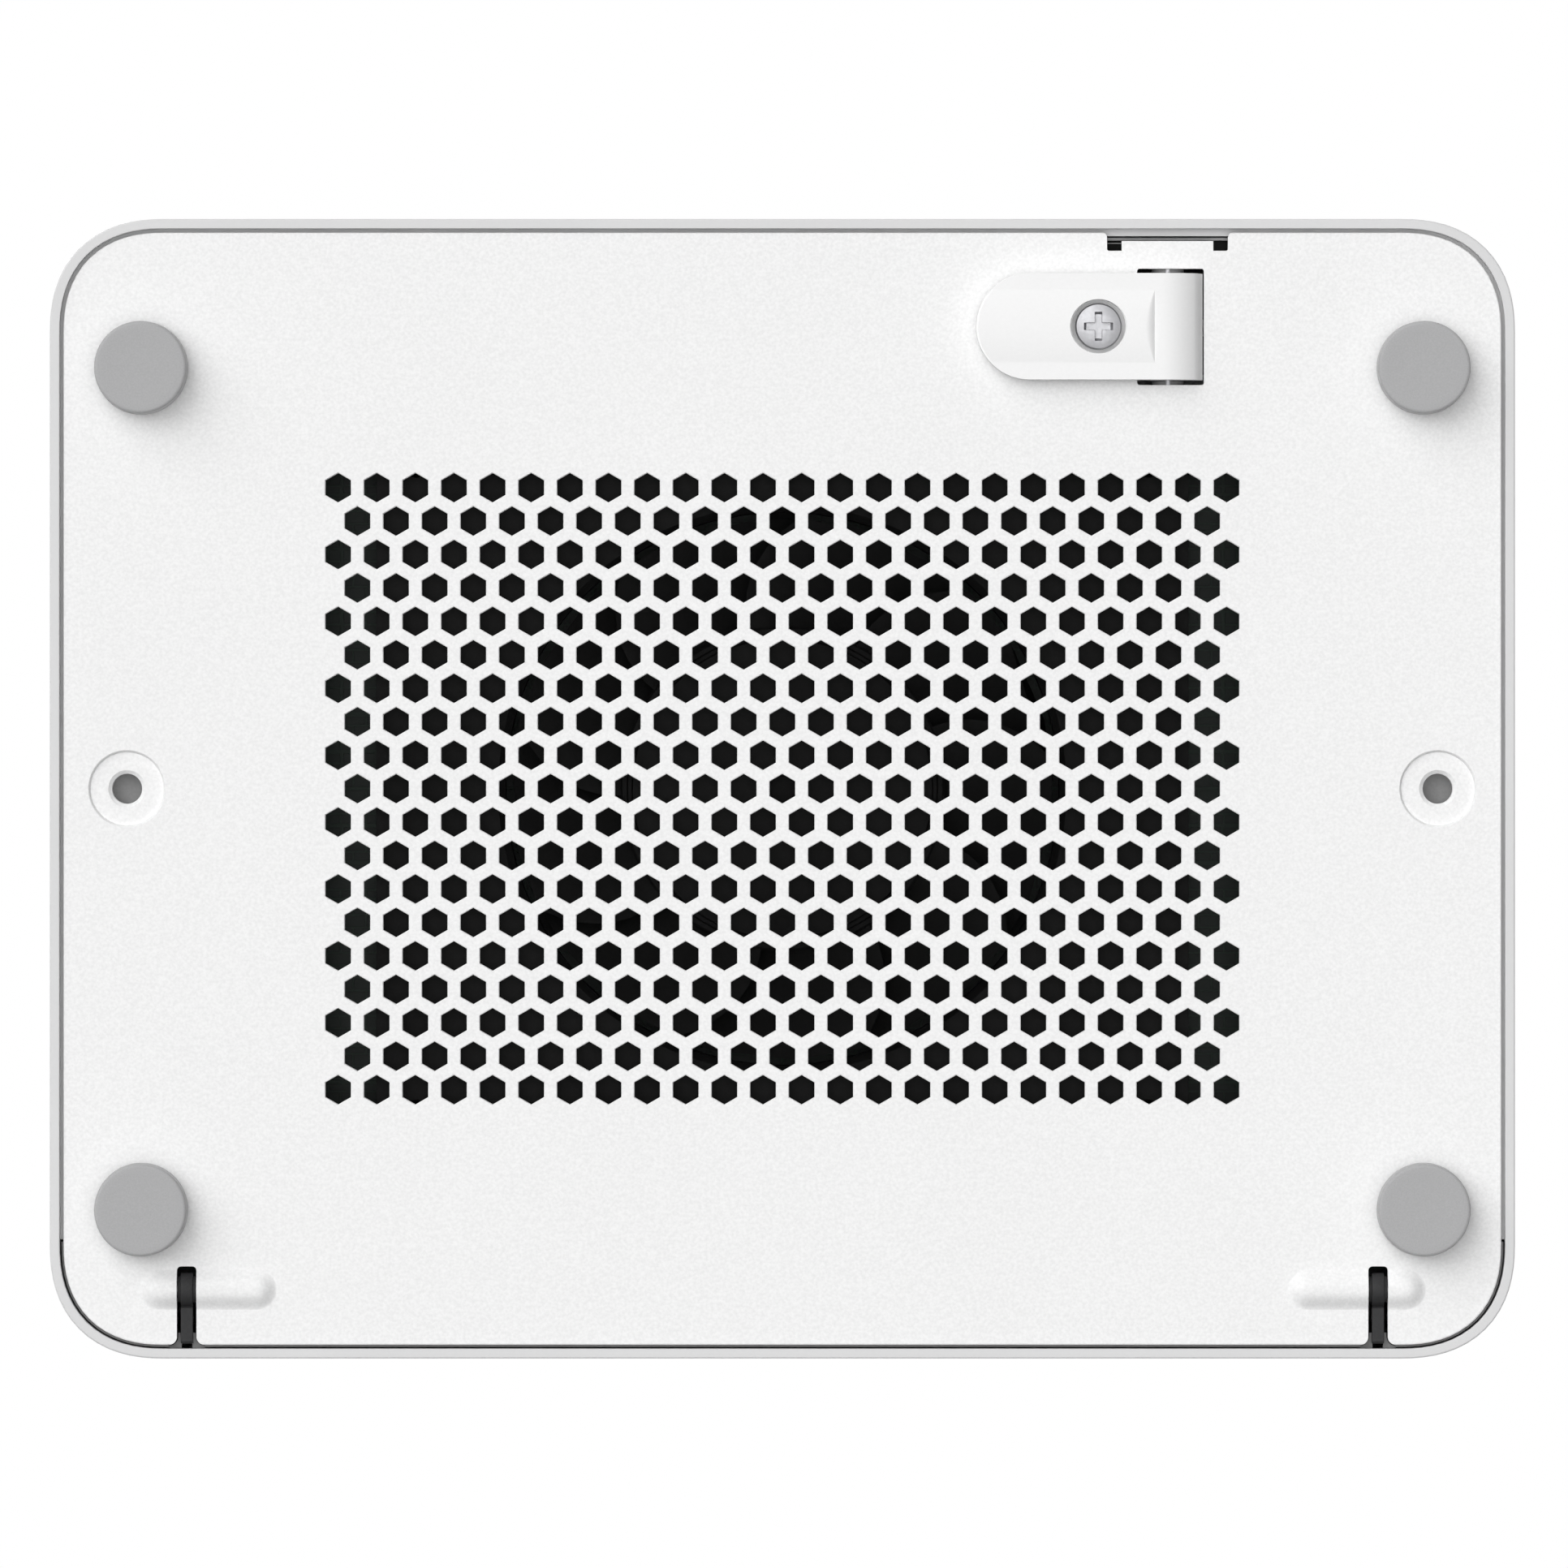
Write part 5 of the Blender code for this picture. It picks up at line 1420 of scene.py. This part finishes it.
def fine_fan_frame():
    """The shroud plate with its round opening, motor seat, struts and corner holes."""
    frame_piece = prism(
        "fan_frame_fine",
        rounded((FAN_LOW.x, FAN_LOW.y), (FAN_HIGH.x, FAN_HIGH.y), 3 * MM, 6),
        FAN_LOW.z,
        FAN_HIGH.z,
        "XY",
        FINISHES["black_plastic"],
    )
    bore = turned(
        "fan_bore",
        [
            (0, FAN_LOW.z - MM),
            (FAN_BORE_R + 0.9 * MM, FAN_LOW.z - MM),
            (FAN_BORE_R + 0.9 * MM, FAN_LOW.z),
            (FAN_BORE_R, FAN_LOW.z + MM),
            (FAN_BORE_R, FAN_HIGH.z + MM),
            (0, FAN_HIGH.z + MM),
        ],
        Matrix.Identity(4),
        steps=96,
    )
    corner_holes = []
    for side_x in (-1, 1):
        for side_y in (-1, 1):
            x, y = side_x * FAN_HOLE[0], side_y * FAN_HOLE[1]
            corner_holes.append(upright(f"fan_hole_{side_x}_{side_y}", x, y, 0, 30 * MM, 1.7 * MM, steps=28))
    cut(frame_piece, bore, *corner_holes)
    soften(frame_piece, 0.25 * MM, 2, 50)
    strut_z = (FAN_HIGH.z - 1.4 * MM, FAN_HIGH.z - 0.05 * MM)
    struts = []
    for number in range(3):
        turn = Matrix.Rotation(math.radians(120 * number + 30), 4, "Z")
        strut = block(
            f"strut_{number}",
            (12.5 * MM, -1.8 * MM, strut_z[0]),
            (36 * MM, 1.8 * MM, strut_z[1]),
            edge=0.2 * MM,
        )
        strut.data.transform(turn)
        struts.append(strut)
    seat = upright("motor_seat", 0, 0, *strut_z, 14 * MM, steps=48, edge=0.2 * MM)
    join(frame_piece, seat, *struts)
    return frame_piece


def blade(number, middle_z):
    """A swept blade with a lens-shaped section, from inside the hub to its tip."""
    root_r = HUB_R - 0.6 * MM
    face = ((-0.5, 0.0), (-0.2, 1.0), (0.2, 1.0), (0.5, 0.0))
    rings = []
    for step in range(9):
        part = step / 8
        radius = root_r + (BLADE_R - root_r) * part
        sweep = 2 * math.pi * number / BLADE_COUNT + 0.28 * part * part
        ring = []
        for corners, up, drop in ((face, 0.35 * MM, 0), (face[::-1], -0.35 * MM, 0.3 * MM)):
            for around, thick in corners:
                angle = sweep + BLADE_CHORD * around
                level = middle_z + around * BLADE_TWIST + up * thick - drop
                ring.append(Vector((radius * math.cos(angle), radius * math.sin(angle), level)))
        rings.append(ring)
    return loft(f"blade_{number}", rings, angle=50)


def fine_rotor():
    """The rotor: a hub with a ring groove and a spindle pit, and swept blades."""
    low, high = ROTOR_LOW.z, ROTOR_HIGH.z
    profile = [
        (0, low + 0.9 * MM),
        (1.5 * MM, low + 0.8 * MM),
        (1.6 * MM, low),
        (HUB_R - 1.6 * MM, low),
        (HUB_R - 1.4 * MM, low + 0.4 * MM),
        (HUB_R - 1.0 * MM, low + 0.4 * MM),
        (HUB_R - 0.8 * MM, low),
        (HUB_R - 0.3 * MM, low + 0.05 * MM),
        (HUB_R, low + 0.4 * MM),
        (HUB_R, high - 0.2 * MM),
        (HUB_R - 0.2 * MM, high),
        (0, high),
    ]
    rotor = turned("fan_rotor_fine", profile, Matrix.Identity(4), FINISHES["black_plastic"], 96)
    pit = upright("balance_pit", 0, 16.5 * MM, low - MM, low + 0.5 * MM, MM)
    blades = [blade(number, (low + high) / 2) for number in range(BLADE_COUNT)]
    cut(rotor, pit)
    join(rotor, *blades)
    return rotor


def fine_sink():
    """The heat sink: a base plate with a row of fins."""
    base = block(
        "heat_sink_fine",
        (SINK_LOW.x, SINK_LOW.y, SINK_HIGH.z - 1.2 * MM),
        SINK_HIGH,
        FINISHES["aluminium"],
        0.15 * MM,
    )
    fins = []
    pitch = (SINK_HIGH.x - SINK_LOW.x - 1.2 * MM) / (FIN_COUNT - 1)
    for number in range(FIN_COUNT):
        x = SINK_LOW.x + 0.6 * MM + number * pitch
        fins.append(
            block(
                f"fin_{number}",
                (x - 0.4 * MM, SINK_LOW.y + 0.1 * MM, SINK_LOW.z),
                (x + 0.4 * MM, SINK_HIGH.y - 0.1 * MM, SINK_HIGH.z - MM),
            )
        )
    join(base, *fins)
    return soften(base, 0.1 * MM, 1, 50)


def fine_board():
    board = prism(
        "main_board_fine",
        rounded((BOARD_LOW.x, BOARD_LOW.y), (BOARD_HIGH.x, BOARD_HIGH.y), 2.5 * MM, 6),
        BOARD_LOW.z,
        BOARD_HIGH.z,
        "XY",
        FINISHES["green_board"],
    )
    holes = []
    for number in range(1, 5):
        middle = box_and_middle(f"board_screw_{number}")[2]
        holes.append(upright(f"board_hole_{number}", middle.x, middle.y, 0, 50 * MM, 1.8 * MM))
    return cut(board, *holes)


def board_parts():
    """Chips, small parts and solder joints on the board's underside, round the fan."""
    chips, small, joints = [], [], []
    under = BOARD_LOW.z
    for number, chip in enumerate(CHIPS):
        x, y, long, wide, thick = (value * MM for value in chip)
        low = (x - long / 2, y - wide / 2, under - thick)
        high = (x + long / 2, y + wide / 2, under - 0.05 * MM)
        chips.append(block(f"chip_{number}", low, high, edge=0.12 * MM))
        for leg in range(int(chip[2] * MM / CHIP_LEG_PITCH + 1e-6)):
            leg_x = low[0] + 0.5 * MM + leg * CHIP_LEG_PITCH
            for side, edge_y in ((-1, low[1]), (1, high[1])):
                y_low, y_high = sorted((edge_y, edge_y + side * 0.9 * MM))
                leg_low = (leg_x - 0.15 * MM, y_low, under - 0.3 * MM)
                leg_high = (leg_x + 0.15 * MM, y_high, under - 0.04 * MM)
                joints.append(block(f"leg_{number}_{leg}_{side}", leg_low, leg_high))
    for number in range(56):
        column, row = number % 14, number // 14
        x = (-77 + 5.0 * (column % 4) if column < 7 else 59 + 5.0 * (column % 4)) * MM
        y = (-46 + row * 22 + (column % 7) * 2.7) * MM
        tall = 0.5 * MM if number % 3 else 0.8 * MM
        low = (x - 0.5 * MM, y - 0.3 * MM, under - tall)
        high = (x + 0.5 * MM, y + 0.3 * MM, under - 0.05 * MM)
        small.append(block(f"small_{number}", low, high, edge=0.06 * MM, segments=1))
    socket_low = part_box("lan_sockets")[0]
    for column in range(32):
        for row in range(2):
            x = socket_low.x + 1.4 * MM + column * 1.95 * MM
            y = 54.0 * MM + row * 2.54 * MM + (column % 2) * 1.27 * MM
            place = at(x, y, under - 0.02 * MM)
            profile = [(0, -0.7 * MM), (0.25 * MM, -0.6 * MM), (0.5 * MM, -0.12 * MM)]
            profile += [(0.6 * MM, 0), (0, 0)]
            joints.append(turned(f"joint_{column}_{row}", profile, place, steps=12))
    return (
        merge("board_chips", chips, FINISHES["chip"]),
        merge("board_small_parts", small, FINISHES["grey_plastic"]),
        merge("board_joints", joints, FINISHES["solder"]),
    )


def fine_board_screw(node):
    """A pan-head screw with a cross recess and a threaded shank."""
    low, high, middle = box_and_middle(node)
    head_r = (high.x - low.x) / 2
    seat = low.z + 1.8 * MM
    profile = [(0, low.z), (head_r * 0.5, low.z + 0.15 * MM), (head_r * 0.9, low.z + 0.6 * MM)]
    profile += [(head_r, low.z + 1.1 * MM), (head_r, seat), (1.4 * MM, seat)]
    height = seat + 0.3 * MM
    while height < high.z - 0.5 * MM:
        profile += [(1.15 * MM, height), (1.4 * MM, height + 0.3 * MM)]
        height += 0.6 * MM
    profile += [(1.0 * MM, high.z), (0, high.z)]
    screw = turned(node + "_fine", profile, at(middle.x, middle.y, 0), FINISHES["zinc_steel"], 40)
    cut(screw, *cross_recess(at(middle.x, middle.y, low.z + 0.05 * MM), 3.0 * MM, 0.8 * MM, 0.9 * MM))
    return screw


def antenna_pieces(number):
    """An upright antenna board with its copper strips."""
    node = f"antenna_{number}"
    low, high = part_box(node)
    board = block(node + "_fine", low, high, FINISHES["dark_board"], 0.1 * MM, 1)
    inner_x = low.x if low.x > 0 else high.x
    out = -1 if low.x > 0 else 1
    strips = []
    turns = 6
    span = (high.y - low.y - 4 * MM) / turns
    for turn in range(turns):
        y = low.y + 2 * MM + turn * span
        z_low = low.z + (1.2 * MM if turn % 2 else 3.0 * MM)
        back, face = sorted((inner_x - out * 0.05 * MM, inner_x + out * 0.06 * MM))
        up_high = (face, y + 0.9 * MM, high.z - MM)
        strips.append(block(f"strip_up_{turn}", (back, y, z_low), up_high))
        level = high.z - 1.9 * MM if turn % 2 else z_low
        on_high = (face, y + span, level + 0.9 * MM)
        strips.append(block(f"strip_on_{turn}", (back, y, level), on_high))
    return board, merge(node + "_copper", strips, FINISHES["gold"])


def fine_lead(number):
    """A thin coaxial lead with its small crown connector on the board."""
    node = f"antenna_lead_{number}"
    low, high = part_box(node)
    side = 1 if low.x > 0 else -1
    antenna_middle = box_and_middle(f"antenna_{number}")[2]
    y_middle = antenna_middle.y
    towards = 1 if (low.y + high.y) / 2 > y_middle else -1
    x = antenna_middle.x - side * 2.2 * MM
    run = 14 * MM * towards
    knots = [
        Vector((x, y_middle, 13.0 * MM)),
        Vector((x - side * 0.6 * MM, y_middle + run * 0.35, 15.0 * MM)),
        Vector((x - side * 3.0 * MM, y_middle + run * 0.75, 17.0 * MM)),
        Vector((x - side * 10.0 * MM, y_middle + run, 18.2 * MM)),
        Vector((x - side * 22.0 * MM, y_middle + run * 1.1, 19.0 * MM)),
    ]
    drawing = bpy.data.curves.new(node + "_fine", "CURVE")
    drawing.dimensions = "3D"
    drawing.bevel_depth = 0.6 * MM
    drawing.bevel_resolution = 4
    drawing.use_fill_caps = True
    line = drawing.splines.new("NURBS")
    line.points.add(len(knots) - 1)
    for point, knot in zip(line.points, knots):
        point.co = (*knot, 1)
    line.use_endpoint_u = True
    line.order_u = 4
    line.resolution_u = 12
    drawing.materials.append(FINISHES["grey_lead"])
    lead = bpy.data.objects.new(node + "_fine", drawing)
    bpy.context.scene.collection.objects.link(lead)
    end = knots[-1]
    crown = turned(
        node + "_crown",
        [(0, 0), (1.2 * MM, 0), (1.3 * MM, 0.2 * MM), (1.3 * MM, 1.6 * MM), (0, 1.6 * MM)],
        at(end.x, end.y, BOARD_LOW.z - 1.65 * MM),
        FINISHES["gold"],
        32,
    )
    return lead, crown


def fine_light_guide():
    """The clear bar in the front wall."""
    low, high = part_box("light_guide")
    return prism(
        "light_guide_fine",
        rounded((low.x, low.z), (high.x, high.z), 0.95 * MM, 6),
        low.y,
        high.y,
        "XZ",
        FINISHES["clear_plastic"],
    )


def fine_shield():
    """The pressed steel can over the radio chips."""
    return block("shield_can_fine", *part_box("shield_can"), FINISHES["plated_steel"], 0.4 * MM, 3)


# --- Stage -------------------------------------------------------------------------------------


def floor():
    """A large pale plane under the feet. Only a camera that is above it sees it."""
    shape = bmesh.new()
    bmesh.ops.create_grid(shape, x_segments=1, y_segments=1, size=4.0)
    plane = finished("floor", shape)
    plane.location.z = CAD_LOW.z
    material = bpy.data.materials.new("floor")
    material.use_nodes = True
    nodes, links = material.node_tree.nodes, material.node_tree.links
    shader = nodes["Principled BSDF"]
    shader.inputs["Base Color"].default_value = (0.82, 0.82, 0.82, 1.0)
    shader.inputs["Roughness"].default_value = 0.7
    clear = nodes.new("ShaderNodeBsdfTransparent")
    mix = nodes.new("ShaderNodeMixShader")
    front = nodes.new("ShaderNodeMath")
    front.operation = "SUBTRACT"
    front.use_clamp = True
    links.new(nodes.new("ShaderNodeLightPath").outputs["Is Camera Ray"], front.inputs[0])
    links.new(nodes.new("ShaderNodeNewGeometry").outputs["Backfacing"], front.inputs[1])
    links.new(front.outputs["Value"], mix.inputs["Fac"])
    links.new(clear.outputs["BSDF"], mix.inputs[1])
    links.new(shader.outputs["BSDF"], mix.inputs[2])
    links.new(mix.outputs["Shader"], nodes["Material Output"].inputs["Surface"])
    plane.data.materials.append(material)


def soft_sun(name, direction, strength, spread):
    """A distant light that shines along this direction. Its spread, in degrees, softens shadows."""
    light = bpy.data.lights.new(name, "SUN")
    light.energy = strength
    light.angle = math.radians(spread)
    lamp = bpy.data.objects.new(name, light)
    bpy.context.scene.collection.objects.link(lamp)
    lamp.rotation_euler = Vector(direction).to_track_quat("-Z", "Y").to_euler()


def white_surroundings():
    """A white background, with a soft light that is strongest from straight below."""
    world = bpy.data.worlds.new("surroundings")
    bpy.context.scene.world = world
    world.use_nodes = True
    nodes, links = world.node_tree.nodes, world.node_tree.links
    direction = nodes.new("ShaderNodeSeparateXYZ")
    links.new(nodes.new("ShaderNodeTexCoord").outputs["Generated"], direction.inputs["Vector"])
    height = nodes.new("ShaderNodeMapRange")
    height.inputs["From Min"].default_value = -1.0
    links.new(direction.outputs["Z"], height.inputs["Value"])
    ramp = nodes.new("ShaderNodeValToRGB")
    stops = ramp.color_ramp.elements
    for upward, _ in SURROUNDINGS[1:-1]:
        stops.new((upward + 1) / 2)
    for stop, (upward, share) in zip(stops, SURROUNDINGS):
        stop.position = (upward + 1) / 2
        stop.color = (share, share, share, 1.0)
    links.new(height.outputs["Result"], ramp.inputs["Fac"])
    light = nodes.new("ShaderNodeMath")
    light.operation = "MULTIPLY"
    light.inputs[1].default_value = BRIGHTEST
    links.new(ramp.outputs["Color"], light.inputs[0])
    seen = nodes.new("ShaderNodeMapRange")
    seen.inputs["From Max"].default_value = 0.6
    seen.inputs["To Min"].default_value = FLOOR_TONE
    links.new(direction.outputs["Z"], seen.inputs["Value"])
    strength = nodes.new("ShaderNodeMix")
    links.new(seen.outputs["Result"], strength.inputs["B"])
    links.new(nodes.new("ShaderNodeLightPath").outputs["Is Camera Ray"], strength.inputs["Factor"])
    links.new(light.outputs["Value"], strength.inputs["A"])
    background = nodes["Background"]
    background.inputs["Color"].default_value = (1.0, 1.0, 1.0, 1.0)
    links.new(strength.outputs["Result"], background.inputs["Strength"])


def camera():
    """A long lens straight below the middle of the underside."""
    lens = bpy.data.cameras.new("camera")
    lens.sensor_width = SENSOR_MM
    lens.lens = FOCAL_MM
    distance = VIEW_WIDTH * FOCAL_MM / SENSOR_MM
    lens.clip_start = 0.1
    lens.clip_end = 20.0
    eye = bpy.data.objects.new("camera", lens)
    bpy.context.scene.collection.objects.link(eye)
    eye.location = (*VIEW_SHIFT, PLATE_FACE - distance)
    eye.rotation_euler = (math.pi, 0, 0)
    bpy.context.scene.camera = eye


def stage():
    floor()
    white_surroundings()
    soft_sun("key_below", (0.66, 0.62, 0.80), 1.8, 60)
    soft_sun("key_above", (0.55, 0.70, -1.00), 1.2, 40)
    bpy.context.scene.view_settings.view_transform = "Standard"


# --- Assembly ----------------------------------------------------------------------------------

camera()
stage()
FINISHES = paint_all()

place_on(fine_shell(), "housing", "white_shell", "top_shell")
place_on(shell_ribs(), "housing", "white_shell")
place_on(fine_port_frame(), "housing", "dark_plastic", "port_frame")
for arm_side in (-1, 1):
    place_on(arm_flange(arm_side), "housing", "dark_plastic")
for socket_node, socket_count in (("lan_sockets", 4), ("wan_socket", 1)):
    shield, pins, liner = network_sockets(socket_node, socket_count, FINISHES["plated_steel"])
    place_on(shield, "housing", "plated_steel", socket_node)
    place_on(pins, "housing", "brass")
    place_on(liner, "housing", "black_plastic")
usb, usb_tongue, usb_contacts = usb_pieces()
place_on(usb, "housing", "plated_steel", "usb_socket")
place_on(usb_tongue, "housing", "black_plastic")
place_on(usb_contacts, "housing", "brass")
inlet, inlet_pin = inlet_pieces()
place_on(inlet, "housing", "dark_plastic", "power_inlet")
place_on(inlet_pin, "housing", "plated_steel")
for button_node in BUTTON_NODES:
    place_on(fine_button(button_node), button_node, "button_plastic", button_node)

place_on(fine_fan_frame(), "housing", "black_plastic", "fan_frame")
place_on(fine_rotor(), "fan_rotor", "black_plastic", "fan_rotor")
place_on(fine_sink(), "housing", "aluminium", "heat_sink")
place_on(fine_board(), "housing", "green_board", "main_board")
for detail, detail_slot in zip(board_parts(), ("black_plastic", "grey_plastic", "zinc_steel")):
    place_on(detail, "housing", detail_slot)
place_on(fine_shield(), "housing", "plated_steel", "shield_can")
place_on(fine_light_guide(), "housing", "clear_plastic", "light_guide")
for count in range(1, 5):
    place_on(fine_board_screw(f"board_screw_{count}"), "housing", "zinc_steel", f"board_screw_{count}")
    antenna_board, antenna_copper = antenna_pieces(count)
    place_on(antenna_board, "housing", "dark_board", f"antenna_{count}")
    place_on(antenna_copper, "housing", "brass")
    coax, connector = fine_lead(count)
    place_on(coax, "housing", "grey_lead", f"antenna_lead_{count}")
    place_on(connector, "housing", "brass")

place_on(fine_plate(), "bottom_cover", "white_textured", "base_plate")
place_on(plate_ribs(), "bottom_cover", "white_textured")
place_on(rear_painted_strip(), "bottom_cover", "dark_plastic")
place_on(pin_hubs(), "bottom_cover", "grey_plastic")
place_on(wall_hole_floors(), "bottom_cover", "grey_plastic")
for foot_node in ("foot_front_left", "foot_front_right", "foot_rear_left", "foot_rear_right"):
    place_on(foot(foot_node), "bottom_cover", "grey_rubber", foot_node)
for pin_node in ("hinge_pin_left", "hinge_pin_right", "lever_pin"):
    place_on(steel_pin(pin_node), "bottom_cover", "zinc_steel", pin_node)
place_on(knurled_insert(), "bottom_cover", "brass", "screw_insert")
place_on(fine_bracket(), "bottom_cover", "grey_plastic", "latch_bracket")
place_on(fine_slider(), "latch_slider", "black_plastic", "latch_slider")
place_on(slider_painted_band(), "latch_slider", "grey_plastic")
place_on(fine_lever(), "release_lever", "white_lever", "release_lever")
place_on(fine_screw(), "lever_screw", "zinc_steel", "lever_screw")
